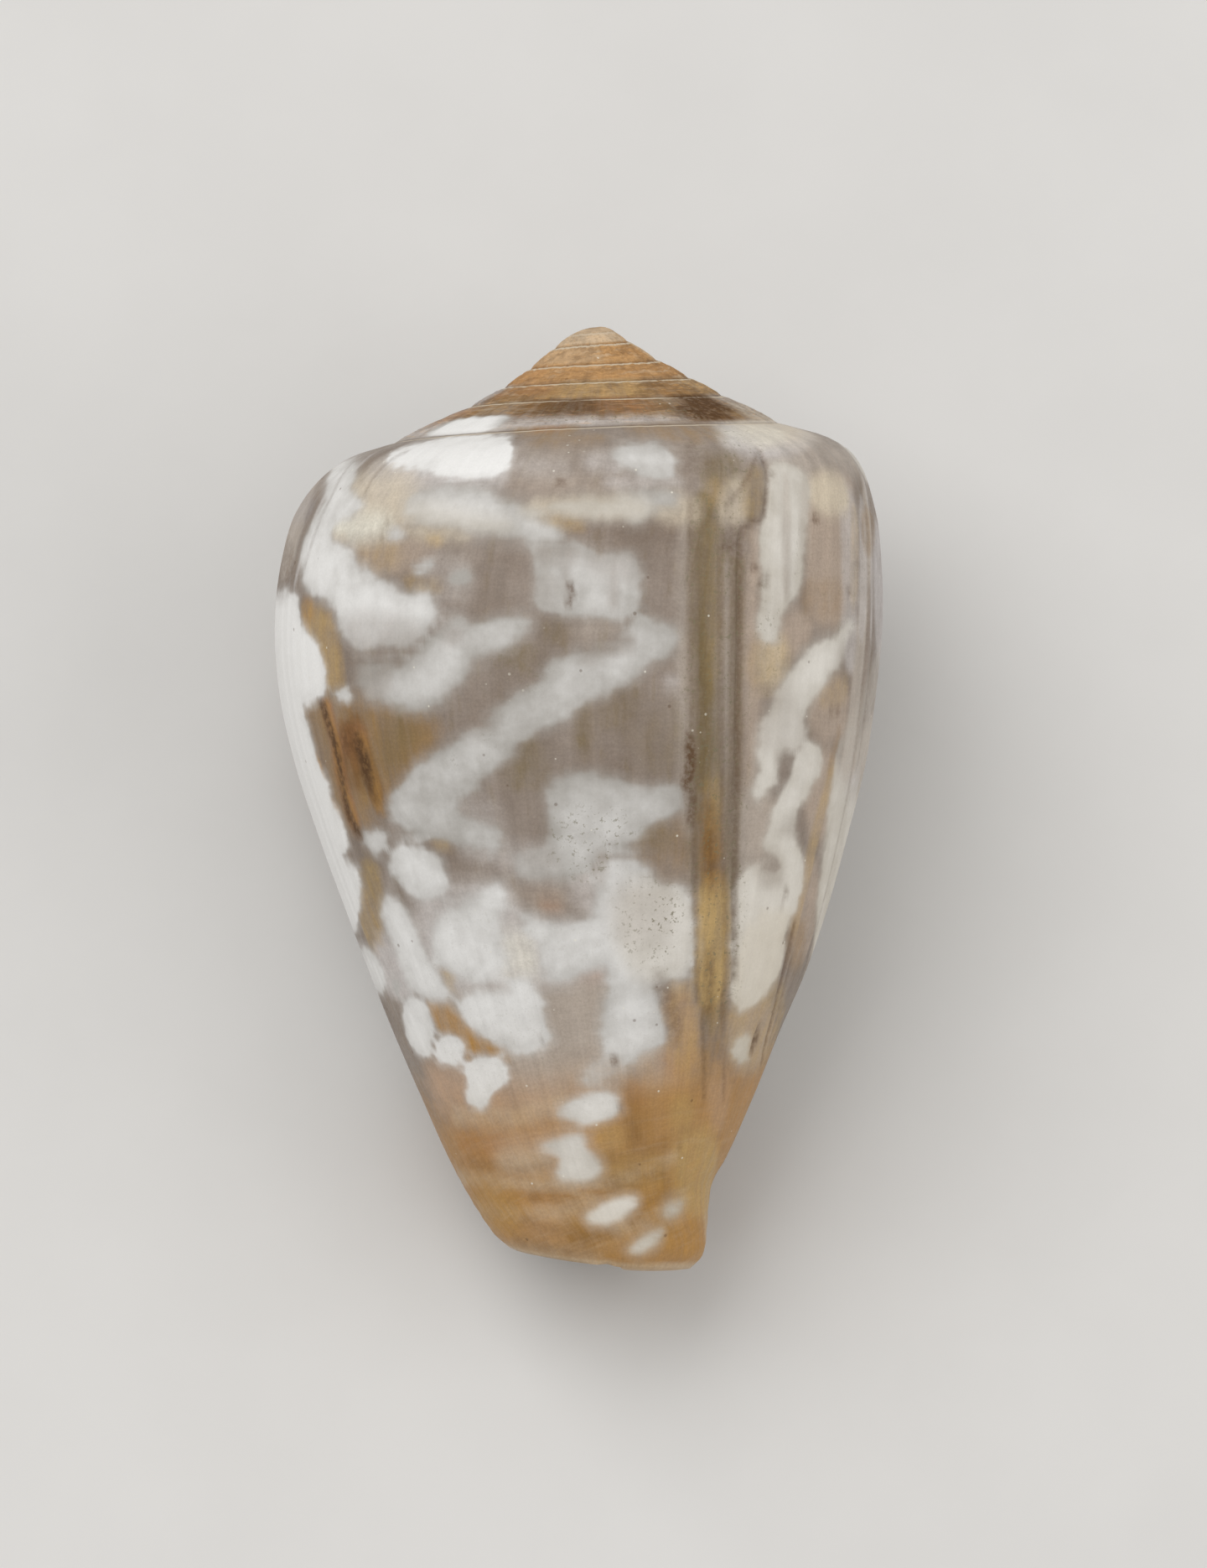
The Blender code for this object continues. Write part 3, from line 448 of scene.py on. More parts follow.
# Stains, as outlines in the same measure: the pigment, its strength, how softly it ends in mm, and its
# outline. The one called thin is no pigment but white worn thin, and cream is white grown warmer.
STAINS = (
    # The left edge and the left shoulder.
    ("tan", 0.90, 2.2, (
        (-17.4, 32.9), (-16.0, 33.3), (-13.0, 33.2), (-11.0, 32.6), (-9.0, 31.5), (-11.3, 28.6),
        (-12.8, 26.8), (-14.0, 25.4), (-15.2, 26.3), (-15.8, 28.3), (-16.8, 31.0))),
    ("russet", 0.40, 1.0, (
        (-15.1, 31.9), (-13.9, 32.0), (-13.5, 31.2), (-13.6, 29.8), (-14.4, 29.5), (-15.3, 30.4))),
    ("brown", 0.90, 1.0, (
        (-15.3, 32.0), (-14.2, 32.2), (-13.6, 31.4), (-13.5, 29.8), (-14.0, 27.6), (-15.0, 27.6),
        (-15.5, 30.0))),
    ("umber", 0.60, 0.8, (
        (-15.0, 31.6), (-14.3, 31.7), (-13.95, 31.2), (-13.9, 30.4), (-14.2, 30.1), (-15.0, 30.0),
        (-15.2, 30.8))),
    ("olive", 0.45, 1.6, ((-12.8, 32.4), (-10.2, 32.0), (-11.2, 29.4), (-12.9, 28.8))),
    ("tan", 0.45, 0.6, LEFT_COLUMN),
    ("gold", 0.55, 0.8, LEFT_COLUMN),
    ("haze", 0.80, 1.0, (
        (-18.8, 45.6), (-16.2, 47.2), (-16.4, 46.0), (-17.2, 43.5), (-18.4, 39.6), (-19.6, 41.0))),
    ("amber", 0.35, 0.5, ((-17.4, 39.2), (-16.8, 39.3), (-16.5, 38.5), (-16.8, 37.6), (-17.3, 37.4))),
    ("umber", 0.30, 0.8, ((-18.9, 42.6), (-18.0, 42.6), (-17.8, 40.8), (-18.0, 39.0), (-19.0, 39.0))),
    ("slate", 0.20, 1.0, ((-18.4, 45.6), (-16.9, 45.5), (-16.5, 44.6), (-17.0, 43.6), (-18.0, 43.4))),
    ("olive", 0.45, 0.7, ((-14.0, 24.0), (-12.7, 24.0), (-12.9, 21.4), (-13.6, 21.2))),
    ("gold", 0.50, 0.8, ((-14.0, 24.0), (-12.7, 24.0), (-12.6, 18.7), (-13.9, 18.9))),
    ("crumb", 0.75, 1.6, (
        (-15.9, 43.7), (-14.6, 44.0), (-12.4, 44.2), (-12.0, 43.0), (-13.0, 42.4), (-15.4, 42.3))),
    ("amber", 0.30, 0.7, ((-15.6, 43.0), (-14.6, 42.9), (-14.6, 42.3), (-15.4, 42.3))),
    ("sand", 0.75, 2.4, (
        (-14.6, 46.2), (-11.5, 46.8), (-9.8, 44.6), (-11.0, 42.9), (-13.6, 43.1), (-14.8, 44.4))),
    ("veil", 0.80, 2.0, (
        (-14.2, 45.4), (-12.6, 47.4), (-9.5, 46.8), (-5.6, 46.6), (-5.8, 45.2), (-10.0, 45.0),
        (-12.8, 44.0))),
    ("sand", 0.60, 0.6, ((-12.4, 47.4), (-11.0, 47.8), (-10.9, 47.0), (-12.2, 46.6))),
    # Paler rose ground, partly a painted highlight where the light falls from the left on the shoulder.
    ("rose", 0.65, 1.4, ((-14.4, 42.6), (-9.8, 42.8), (-9.8, 40.8), (-12.8, 40.2), (-14.4, 41.0))),
    ("gold", 0.30, 1.6, ((-14.2, 42.3), (-11.6, 42.5), (-11.2, 41.0), (-13.0, 40.6), (-14.2, 41.0))),
    ("gold", 0.35, 1.0, ((-11.8, 40.5), (-9.2, 40.2), (-9.2, 39.3), (-11.0, 39.3))),
    ("olive", 0.25, 0.9, ((-11.6, 40.3), (-9.2, 40.1), (-9.3, 39.3), (-10.9, 39.3))),
    ("sand", 0.60, 0.8, (
        (-11.6, 43.2), (-9.6, 43.4), (-7.6, 43.0), (-7.6, 42.3), (-9.8, 42.3), (-11.2, 42.6),
    )),
    ("gold", 0.50, 0.7, ((-10.1, 42.9), (-9.2, 42.9), (-9.1, 42.1), (-10.0, 42.1))),
    # Thin white between the clouds.
    ("thin", 0.40, 1.6, ((-15.2, 38.4), (-10.4, 38.2), (-10.2, 35.2), (-14.6, 35.2))),
    ("thin", 0.40, 1.0, ((-14.8, 35.4), (-12.2, 35.5), (-12.0, 33.4), (-14.4, 33.0))),
    ("veil", 0.35, 1.2, ((-10.6, 37.6), (-7.8, 38.4), (-7.6, 37.2), (-9.4, 36.4))),
    ("veil", 0.25, 1.4, ((-10.6, 41.6), (-7.4, 41.4), (-7.4, 38.6), (-10.0, 38.6))),
    ("veil", 0.45, 0.8, ((0.3, 46.3), (4.6, 46.2), (4.8, 45.4), (0.0, 45.2))),
    ("veil", 0.40, 1.6, ((-8.4, 25.0), (-2.8, 24.8), (-1.4, 22.6), (-4.6, 22.8), (-7.6, 24.0))),
    ("veil", 0.35, 1.6, ((-8.6, 27.4), (-6.0, 27.6), (-5.6, 25.6), (-8.0, 25.8))),
    ("veil", 0.50, 1.2, ((-2.2, 23.2), (0.0, 23.2), (0.2, 20.8), (-1.4, 20.8))),
    ("veil", 0.75, 2.0, (
        (-11.0, 22.0), (-9.6, 22.4), (-5.4, 22.4), (-5.0, 21.0), (-3.4, 20.1), (-1.6, 20.4),
        (-0.4, 19.2), (0.9, 17.2), (-1.0, 17.2), (-3.0, 16.6), (-5.6, 16.2), (-9.2, 16.2),
        (-10.8, 19.0))),
    ("veil", 0.40, 0.8, ((3.6, 34.5), (4.5, 34.5), (4.4, 33.7), (3.6, 33.7))),
    # The ground between them, which is not all of one colour.
    ("rose", 0.35, 2.0, ((-10.6, 22.0), (-9.2, 21.6), (-9.4, 19.0), (-10.6, 20.0))),
    ("rose", 0.45, 1.5, ((-5.4, 22.4), (-2.4, 22.4), (-1.9, 21.3), (-3.4, 20.9), (-5.0, 21.3))),
    ("russet", 0.25, 1.0, ((-3.8, 21.8), (-2.4, 21.8), (-2.2, 20.9), (-3.4, 20.8))),
    ("rose", 0.75, 2.0, ((-3.2, 17.2), (0.8, 17.4), (0.6, 15.0), (-0.2, 12.6), (-8.0, 11.8), (-5.0, 13.0))),
    ("russet", 0.22, 1.0, ((-1.2, 17.6), (0.2, 17.7), (0.3, 16.8), (-1.2, 16.7))),
    ("haze", 0.75, 3.0, ((-10.5, 18.0), (5.2, 18.0), (5.6, 10.6), (-9.0, 10.6))),
    ("haze", 0.25, 3.0, ((-10.5, 23.6), (5.2, 24.6), (5.4, 18.0), (-10.0, 18.0))),
    ("umber", 0.22, 1.0, ((-2.4, 43.6), (4.6, 43.5), (4.6, 42.2), (2.4, 42.1), (-0.6, 42.6), (-2.2, 42.8))),
    ("umber", 0.10, 1.6, ((2.4, 43.4), (4.8, 43.4), (4.8, 38.4), (2.6, 38.0))),
    ("umber", 0.14, 1.2, ((-5.6, 42.2), (-4.4, 42.0), (-4.2, 39.6), (-5.4, 39.8))),
    ("sand", 0.65, 1.2, ((2.8, 45.0), (5.8, 44.9), (5.8, 43.2), (3.0, 43.4))),
    ("sand", 0.55, 0.9, ((-4.2, 44.8), (-1.4, 44.9), (2.8, 44.9), (2.8, 43.7), (-1.0, 43.6), (-4.0, 43.6))),
    ("gold", 0.60, 0.8, ((-3.8, 43.7), (-0.8, 43.5), (-1.0, 42.8), (-2.6, 42.9))),
    ("thin", 0.50, 0.7, ((-3.9, 43.9), (-1.0, 43.7), (-1.2, 43.1), (-3.4, 43.2))),
    ("veil", 0.50, 1.2, ((-1.6, 46.9), (1.0, 47.9), (1.6, 46.4), (0.4, 46.0))),
    ("veil", 0.30, 1.4, ((-5.4, 47.4), (-1.8, 46.9), (-1.6, 46.2), (-5.2, 46.2))),
    ("rose", 0.30, 1.2, ((-5.8, 46.0), (2.0, 45.9), (1.6, 44.9), (-5.4, 44.9))),
    ("olive", 0.40, 1.0, ((-3.7, 37.7), (-1.8, 37.6), (-1.8, 36.6), (-3.4, 36.4))),
    ("haze", 0.45, 1.0, ((-1.8, 37.8), (1.4, 37.8), (1.0, 36.8), (-1.8, 36.6))),
    ("olive", 0.40, 1.2, ((-5.6, 36.4), (-3.6, 36.4), (-3.6, 35.2), (-5.6, 35.0))),
    ("olive", 0.45, 1.2, ((-3.4, 30.9), (-2.8, 28.0), (-5.5, 28.0), (-6.0, 29.3), (-4.4, 31.2))),
    ("olive", 0.35, 1.0, ((0.8, 33.6), (2.1, 33.8), (2.0, 32.4), (0.8, 32.4))),
    ("olive", 0.50, 1.0, ((-1.5, 33.2), (-0.4, 33.3), (-0.4, 29.8), (-1.5, 29.8))),
    ("olive", 0.30, 1.2, ((-0.6, 33.4), (2.6, 34.6), (2.4, 31.4), (-0.4, 31.2))),
    ("umber", 0.12, 1.8, ((-1.4, 32.6), (1.2, 33.4), (3.2, 34.4), (3.4, 28.8), (-1.6, 28.8))),
    ("olive", 0.25, 2.0, ((1.6, 32.6), (5.0, 33.0), (5.0, 29.0), (1.8, 28.8))),
    ("tan", 0.35, 1.4, ((2.0, 26.4), (5.2, 26.5), (5.2, 22.7), (3.4, 22.8), (1.6, 24.6))),
    ("olive", 0.40, 1.2, ((1.8, 25.8), (4.4, 26.6), (4.2, 24.4), (1.8, 24.4))),
    ("amber", 0.75, 0.7, (
        (-10.2, 15.7), (-9.0, 15.6), (-8.3, 15.0), (-7.6, 14.1), (-6.6, 13.5), (-5.8, 13.1),
        (-5.1, 12.6), (-5.6, 12.3), (-6.3, 12.6), (-7.3, 12.7), (-7.9, 12.3), (-8.0, 13.2),
        (-8.5, 13.8), (-9.3, 13.9), (-9.8, 14.4))),
    ("gold", 0.70, 0.6, ((-9.4, 17.6), (-8.5, 17.5), (-8.5, 16.6), (-9.3, 16.6))),
    ("gold", 0.45, 0.9, ((-9.9, 25.5), (-8.6, 25.4), (-8.8, 24.4), (-9.8, 24.6))),
    # The whites, where they are worn thin.
    ("thin", 0.45, 0.9, ((0.40, 41.9), (1.10, 41.9), (1.10, 38.4), (0.40, 38.4))),
    ("thin", 0.35, 0.8, ((-2.4, 41.4), (-1.8, 41.2), (-1.7, 38.6), (-2.2, 38.2))),
    ("thin", 0.40, 0.9, ((-4.0, 42.4), (-1.0, 42.2), (-1.2, 40.8), (-3.9, 40.8))),
    ("thin", 0.32, 1.2, ((-1.4, 42.2), (2.6, 42.2), (2.6, 39.6), (-0.6, 40.2))),
    ("thin", 0.25, 1.0, ((-4.0, 40.6), (-2.2, 40.6), (-2.2, 38.2), (-3.9, 38.4))),
    ("thin", 0.65, 0.9, ((-1.0, 36.4), (1.4, 37.4), (2.2, 36.2), (0.6, 35.6), (-1.6, 35.4))),
    ("thin", 0.35, 0.8, ((-7.6, 32.4), (-5.6, 32.6), (-6.2, 31.2), (-8.0, 31.0))),
    ("thin", 0.45, 0.7, ((-9.6, 36.9), (-8.4, 37.6), (-7.6, 36.8), (-8.6, 36.2))),
    ("thin", 0.55, 0.7, ((-6.7, 17.0), (-5.5, 17.2), (-5.2, 16.4), (-6.6, 16.1))),
    ("thin", 0.20, 0.6, ((-5.9, 21.2), (-5.2, 21.2), (-5.2, 18.6), (-5.8, 18.6))),
    ("crumb", 0.45, 1.2, ((-6.2, 20.0), (-3.6, 19.8), (-3.4, 16.8), (-6.0, 16.8))),
    ("veil", 0.85, 1.0, ((-13.4, 19.6), (-12.2, 19.4), (-10.6, 16.6), (-11.4, 15.4), (-12.8, 16.4))),
    ("thin", 0.35, 1.0, ((-4.6, 24.6), (-2.6, 24.8), (-2.0, 23.2), (-4.6, 23.2))),
    ("thin", 0.45, 0.7, ((-0.4, 24.4), (0.6, 24.2), (0.2, 22.2), (-0.5, 22.2))),
    ("thin", 0.30, 1.8, ((0.3, 22.8), (3.8, 22.6), (4.6, 19.0), (0.4, 18.8))),
    ("cream", 0.50, 1.5, ((0.6, 23.0), (5.6, 22.6), (5.4, 16.4), (1.0, 17.0))),
    ("gold", 0.45, 1.2, ((3.7, 16.8), (5.7, 16.9), (5.7, 10.6), (3.6, 12.0))),
    ("russet", 0.40, 1.0, ((3.5, 16.4), (5.6, 16.4), (5.6, 10.8), (3.2, 11.8), (3.8, 13.6))),
    ("gold", 0.40, 1.2, ((7.2, 16.6), (10.6, 17.6), (9.8, 12.2), (7.2, 11.2))),
    ("cream", 1.00, 1.4, ((7.2, 20.6), (11.6, 22.0), (10.6, 12.4), (7.2, 11.6))),
    ("thin", 0.50, 0.6, ((-0.4, 12.6), (1.2, 12.6), (1.4, 11.4), (-0.6, 11.2))),
    ("thin", 0.45, 0.5, ((10.4, 46.2), (10.9, 46.2), (10.95, 38.6), (10.45, 38.6))),
    ("thin", 0.30, 0.5, ((11.5, 46.0), (12.0, 46.0), (12.0, 41.0), (11.5, 41.0))),
    ("thin", 0.25, 1.2, ((9.2, 33.4), (11.2, 34.0), (12.2, 31.2), (11.2, 30.0), (9.0, 30.0))),
    ("thin", 0.55, 0.8, ((9.9, 30.2), (11.0, 30.1), (11.1, 28.8), (10.1, 28.7))),
    ("thin", 0.50, 1.3, ((8.8, 24.6), (10.3, 24.2), (10.6, 22.6), (9.6, 22.2), (8.9, 22.8))),
    ("thin", 0.35, 0.8, ((10.2, 26.2), (11.4, 26.6), (11.4, 25.4), (10.2, 25.2))),
    ("cream", 0.55, 1.2, ((-4.6, 45.2), (2.9, 45.2), (2.9, 43.0), (-4.6, 43.4))),
    ("cream", 0.40, 1.6, ((-11.6, 45.0), (-7.0, 44.0), (-4.6, 43.2), (-7.0, 42.5), (-11.8, 43.0))),
    # The scar down the right of the back.
    ("olive", 0.55, 1.2, (
        (5.3, 45.0), (7.1, 45.0), (7.0, 40.0), (7.0, 30.0), (7.0, 25.0), (7.1, 19.0), (6.8, 14.0),
        (5.8, 14.0), (5.5, 19.0), (5.2, 25.0), (5.1, 30.0), (5.0, 40.0))),
    ("olive", 0.55, 1.4, ((5.8, 47.6), (7.8, 47.5), (8.2, 46.2), (7.4, 45.2), (6.0, 45.0))),
    ("umber", 0.25, 1.2, ((4.3, 47.6), (7.0, 47.6), (6.6, 46.1), (4.4, 46.0))),
    ("gold", 0.30, 1.2, ((6.2, 46.0), (7.4, 45.9), (7.0, 44.4), (6.0, 44.2))),
    ("gold", 0.30, 0.9, SCAR_HOOK),
    ("olive", 0.35, 0.7, SCAR_HOOK),
    ("sand", 0.50, 0.8, ((7.0, 45.6), (8.1, 46.4), (8.5, 44.6), (8.1, 43.1), (6.9, 43.2), (6.7, 44.4))),
    ("veil", 0.85, 1.2, ((6.4, 49.2), (8.6, 49.6), (10.6, 49.4), (11.0, 47.4), (9.6, 47.0), (7.0, 47.8))),
    ("crumb", 0.55, 1.4, ((6.4, 48.9), (8.8, 49.2), (10.4, 49.0), (10.2, 47.8), (7.4, 48.2))),
    ("umber", 0.28, 0.7, ((6.9, 43.1), (8.1, 43.0), (8.0, 41.8), (7.0, 41.8))),
    ("haze", 0.48, 0.8, ((4.2, 43.5), (5.3, 43.5), (5.4, 33.0), (5.5, 25.0), (4.6, 25.0), (4.3, 33.0))),
    ("haze", 0.30, 0.9, ((7.0, 41.0), (7.6, 41.0), (7.6, 30.0), (7.5, 20.0), (7.3, 20.0), (7.0, 30.0))),
    ("gold", 0.15, 1.0, ((5.9, 43.4), (6.9, 43.4), (6.9, 33.0), (5.9, 33.0))),
    ("gold", 0.30, 1.0, ((5.8, 29.0), (7.0, 29.0), (7.1, 25.0), (6.0, 25.0))),
    ("gold", 0.95, 1.2, ((5.3, 22.6), (7.4, 22.8), (7.4, 19.6), (7.3, 15.4), (5.3, 15.4))),
    ("amber", 0.35, 1.2, ((5.9, 25.8), (6.8, 25.8), (7.2, 22.4), (5.9, 22.0))),
    ("umber", 0.45, 0.9, ((5.9, 26.2), (6.6, 26.2), (6.7, 22.4), (6.0, 22.4))),
    ("umber", 0.38, 0.7, ((5.9, 18.6), (6.6, 18.6), (6.6, 15.0), (5.9, 15.0))),
    ("gold", 0.45, 1.0, ((6.3, 17.4), (7.1, 17.4), (7.0, 14.0), (6.3, 14.0))),
    ("tan", 0.45, 1.4, ((5.5, 17.0), (7.4, 17.0), (7.4, 10.8), (5.7, 10.8))),
    ("brown", 0.85, 1.4, ((5.7, 27.4), (6.8, 27.4), (6.9, 21.8), (5.9, 21.6))),
    ("brown", 0.45, 0.9, ((5.7, 18.8), (6.8, 18.8), (6.9, 14.6), (5.7, 14.6))),
    # Right of the scar.
    ("sand", 0.80, 1.6, ((7.2, 49.0), (8.8, 49.9), (11.4, 49.6), (11.8, 48.2), (9.4, 48.0))),
    ("veil", 0.70, 1.2, ((7.8, 49.2), (10.0, 49.4), (10.2, 48.5), (8.4, 48.5))),
    ("rose", 0.80, 1.6, (
        (8.2, 43.0), (9.3, 43.0), (9.2, 38.0), (9.2, 33.0), (8.8, 28.0), (8.1, 26.0))),
    ("haze", 0.85, 1.4, ((9.4, 48.3), (12.2, 48.0), (12.4, 44.0), (9.6, 43.4))),
    ("rose", 0.95, 1.2, (
        (11.6, 46.6), (14.6, 46.4), (14.5, 43.9), (14.5, 37.4), (11.8, 37.4), (11.9, 41.0),
    )),
    ("sand", 0.90, 1.2, ((12.0, 46.6), (14.3, 46.2), (14.5, 43.9), (12.1, 43.9))),
    ("gold", 0.35, 1.6, ((8.6, 37.0), (10.7, 36.9), (11.0, 35.2), (9.9, 33.6), (8.5, 34.0))),
    ("sand", 0.60, 1.4, ((9.0, 36.8), (10.8, 36.6), (10.8, 34.8), (9.9, 33.8), (9.0, 34.2))),
    ("tan", 0.20, 0.9, ((8.3, 36.4), (9.3, 36.4), (9.3, 34.0), (8.4, 34.2))),
    ("rose", 0.90, 1.2, ((10.5, 38.4), (12.4, 38.2), (12.2, 36.4), (10.6, 35.4), (10.2, 36.6))),
    ("tan", 0.30, 1.0, ((11.4, 40.2), (14.2, 40.2), (14.2, 37.8), (11.6, 37.8))),
    ("gold", 0.30, 0.6, ((14.45, 44.6), (14.9, 44.6), (14.9, 38.4), (14.45, 38.4))),
    ("veil", 0.55, 0.8, (
        (13.6, 45.8), (14.8, 45.6), (14.9, 40.0), (14.8, 34.4), (13.9, 35.4), (14.0, 42.0),
    )),
    ("thin", 0.75, 2.2, ((13.6, 38.0), (17.8, 38.0), (16.6, 27.4), (13.2, 27.6))),
    ("rose", 0.85, 1.0, ((12.0, 34.2), (14.4, 35.0), (14.3, 30.6), (12.2, 30.6))),
    ("gold", 0.35, 1.0, ((12.8, 34.2), (14.4, 35.0), (14.4, 33.0), (12.6, 32.6))),
    ("rose", 0.95, 1.0, ((12.0, 30.6), (13.8, 30.6), (13.4, 25.0), (11.6, 25.2))),
    ("rose", 0.90, 1.2, ((8.2, 27.6), (10.6, 27.0), (9.6, 24.0), (8.2, 24.2))),
    ("haze", 0.75, 1.6, ((7.4, 27.8), (9.4, 28.0), (10.6, 26.0), (10.4, 22.2), (7.8, 22.6), (7.5, 24.6))),
    ("rose", 0.80, 1.0, ((11.0, 23.6), (12.8, 24.0), (12.0, 18.0), (10.8, 18.0))),
    ("tan", 0.45, 0.8, ((10.7, 20.4), (12.0, 20.4), (11.6, 17.4), (10.6, 17.4))),
    ("rose", 0.80, 1.2, ((7.2, 15.6), (9.6, 15.8), (10.2, 14.0), (9.2, 11.6), (7.2, 11.6))),
    ("slate", 0.15, 1.4, ((15.5, 43.5), (16.7, 43.5), (17.2, 35.5), (15.6, 34.0))),
    ("haze", 0.95, 0.6, (
        (14.9, 47.0), (15.4, 46.0), (15.5, 38.0), (15.2, 34.0), (14.8, 30.0), (12.4, 20.0),
        (11.4, 16.0), (13.0, 25.0), (14.3, 31.0), (14.9, 38.0))),
    ("veil", 0.70, 1.0, ((15.6, 44.0), (17.0, 43.0), (17.4, 36.0), (15.9, 35.0))),
    ("tan", 0.45, 0.6, ((15.0, 44.6), (15.9, 44.2), (16.0, 41.8), (15.2, 41.6))),
    ("veil", 0.50, 0.5, ((14.9, 45.0), (15.3, 45.0), (15.5, 38.0), (15.1, 36.0), (14.9, 38.0))),
    ("veil", 0.70, 0.8, ((13.9, 28.0), (15.4, 30.0), (13.4, 20.0), (12.2, 18.0), (12.6, 22.0))),
    ("haze", 0.90, 1.0, ((14.6, 31.0), (16.5, 33.0), (14.0, 20.0), (11.5, 16.0), (13.2, 25.0))),
    # The foot, from greyish pink through orange to yellow.
    ("orange", 1.00, 4.0, (
        (-12.0, 9.0), (-8.0, 9.2), (-4.0, 9.4), (-1.4, 10.0), (1.2, 11.2), (3.0, 12.4), (5.0, 12.6),
        (5.8, 11.4), (7.4, 11.6), (8.2, 12.2), (11.5, 13.0), (12.0, -3.0), (-12.0, -3.0))),
    ("blush", 0.80, 3.0, (
        (-10.6, 12.6), (-4.0, 12.4), (1.2, 12.6), (0.6, 10.6), (-1.4, 8.8), (-4.6, 8.2), (-9.6, 8.9))),
    ("blush", 0.85, 2.0, ((-7.2, 8.4), (-1.0, 8.4), (-1.0, 6.6), (-3.0, 5.8), (-5.6, 5.4))),
    ("blush", 0.35, 1.8, ((-4.2, 4.6), (1.0, 4.4), (1.4, 2.6), (0.2, 1.4), (-4.8, 1.8))),
    ("blush", 0.35, 1.4, ((0.6, 2.9), (2.8, 2.9), (3.2, 1.2), (0.6, 1.0))),
    ("blush", 0.55, 1.2, ((6.1, 12.4), (7.4, 12.0), (7.2, 8.0), (6.2, 8.0))),
    ("blush", 0.45, 1.6, ((2.2, 13.0), (5.8, 13.0), (5.6, 10.8), (3.0, 10.6))),
    ("russet", 0.42, 2.0, ((-8.4, 8.3), (-5.8, 8.3), (-5.6, 7.0), (-6.2, 6.3), (-8.2, 6.4))),
    ("amber", 0.58, 2.2, ((-8.2, 6.4), (-4.2, 5.0), (-3.4, 1.8), (-6.2, 2.0), (-7.4, 4.0))),
    ("tan", 0.72, 2.0, ((-0.4, 6.6), (4.4, 7.0), (4.8, 4.4), (4.2, 1.0), (-2.2, 1.2), (-2.6, 5.0))),
    ("sand", 0.50, 1.4, ((-6.4, 7.0), (-3.0, 7.2), (-2.8, 5.6), (-5.8, 5.4))),
    ("amber", 0.45, 1.6, ((1.4, 6.4), (4.4, 6.8), (5.0, 4.6), (4.0, 2.4), (2.2, 2.4))),
    ("russet", 0.22, 1.4, ((-4.9, 5.0), (-0.2, 5.0), (0.2, 4.2), (-4.6, 3.9))),
    ("russet", 0.25, 1.2, ((1.3, 11.2), (2.3, 11.4), (2.8, 9.6), (1.4, 9.6))),
    ("russet", 0.20, 1.0, ((3.6, 13.6), (4.6, 13.6), (4.4, 12.2), (3.4, 12.2))),
    ("gold", 0.45, 1.6, ((-7.4, 4.6), (-6.0, 4.8), (-4.7, 3.4), (-5.2, 2.2), (-6.8, 2.6))),
    ("gold", 0.50, 1.6, ((-0.3, 8.4), (1.2, 8.6), (1.4, 7.2), (0.0, 6.8))),
    ("gold", 0.90, 1.6, ((4.2, 8.0), (6.6, 8.6), (6.8, 3.0), (4.8, 3.0), (4.0, 5.2))),
    ("gold", 0.55, 1.2, ((3.9, 10.0), (5.3, 10.4), (5.5, 7.6), (4.1, 7.4))),
    ("gold", 0.35, 1.2, ((0.0, 6.6), (4.0, 7.0), (4.2, 5.0), (0.2, 4.8))),
    ("brown", 0.35, 1.2, ((4.0, 9.8), (5.0, 10.0), (5.2, 7.5), (4.2, 7.4))),
    ("brown", 0.60, 1.8, ((1.3, 10.4), (2.5, 10.4), (2.9, 7.2), (1.5, 6.7))),
    ("brown", 0.85, 1.4, ((1.4, 8.9), (2.4, 8.8), (2.6, 7.2), (1.6, 7.2))),
    ("amber", 0.60, 1.4, ((3.7, 3.2), (5.6, 3.4), (5.9, 0.4), (3.4, 0.3))),
    ("amber", 0.24, 4.0, ((-9.5, 9.0), (-1.0, 11.5), (6.5, 14.0), (7.5, 8.0), (6.5, -1.0), (-7.0, -1.0))),
    ("amber", 0.35, 1.0, ((-0.4, 1.5), (3.6, 1.0), (3.6, -0.2), (-0.4, -0.2))),
    ("amber", 0.35, 1.0, ((-6.0, 3.4), (-5.0, 3.4), (-4.8, 2.3), (-5.8, 2.2))),
    ("sand", 0.55, 0.8, ((5.8, 7.4), (6.8, 7.0), (6.6, 1.2), (6.0, 1.2))),
    ("sand", 0.35, 1.0, ((-5.6, 1.7), (0.0, 1.2), (0.0, 0.0), (-5.6, 0.4))),
    # Paler ground: the shoulder.
    ("tan", 0.80, 0.8, ((-5.4, 49.6), (-1.2, 49.6), (-1.4, 48.4), (-5.2, 48.3))),
    ("russet", 0.40, 0.6, ((-4.4, 49.4), (-1.8, 49.4), (-2.0, 48.8), (-4.2, 48.7))),
    ("tan", 0.50, 0.9, ((-4.4, 48.6), (0.4, 48.6), (0.2, 47.9), (-4.2, 47.8))),
    ("tan", 0.60, 0.9, ((1.0, 49.4), (7.0, 49.2), (7.2, 48.0), (2.0, 48.3))),
    ("haze", 0.30, 2.0, ((-5.0, 48.6), (8.6, 48.8), (8.0, 44.9), (-5.5, 44.9))),
    ("haze", 0.65, 1.6, ((8.6, 49.0), (15.5, 47.8), (15.0, 45.9), (9.4, 46.6))),
    ("haze", 0.20, 1.6, ((-9.5, 42.5), (-7.0, 42.0), (-7.5, 38.4), (-9.6, 39.2))),
)

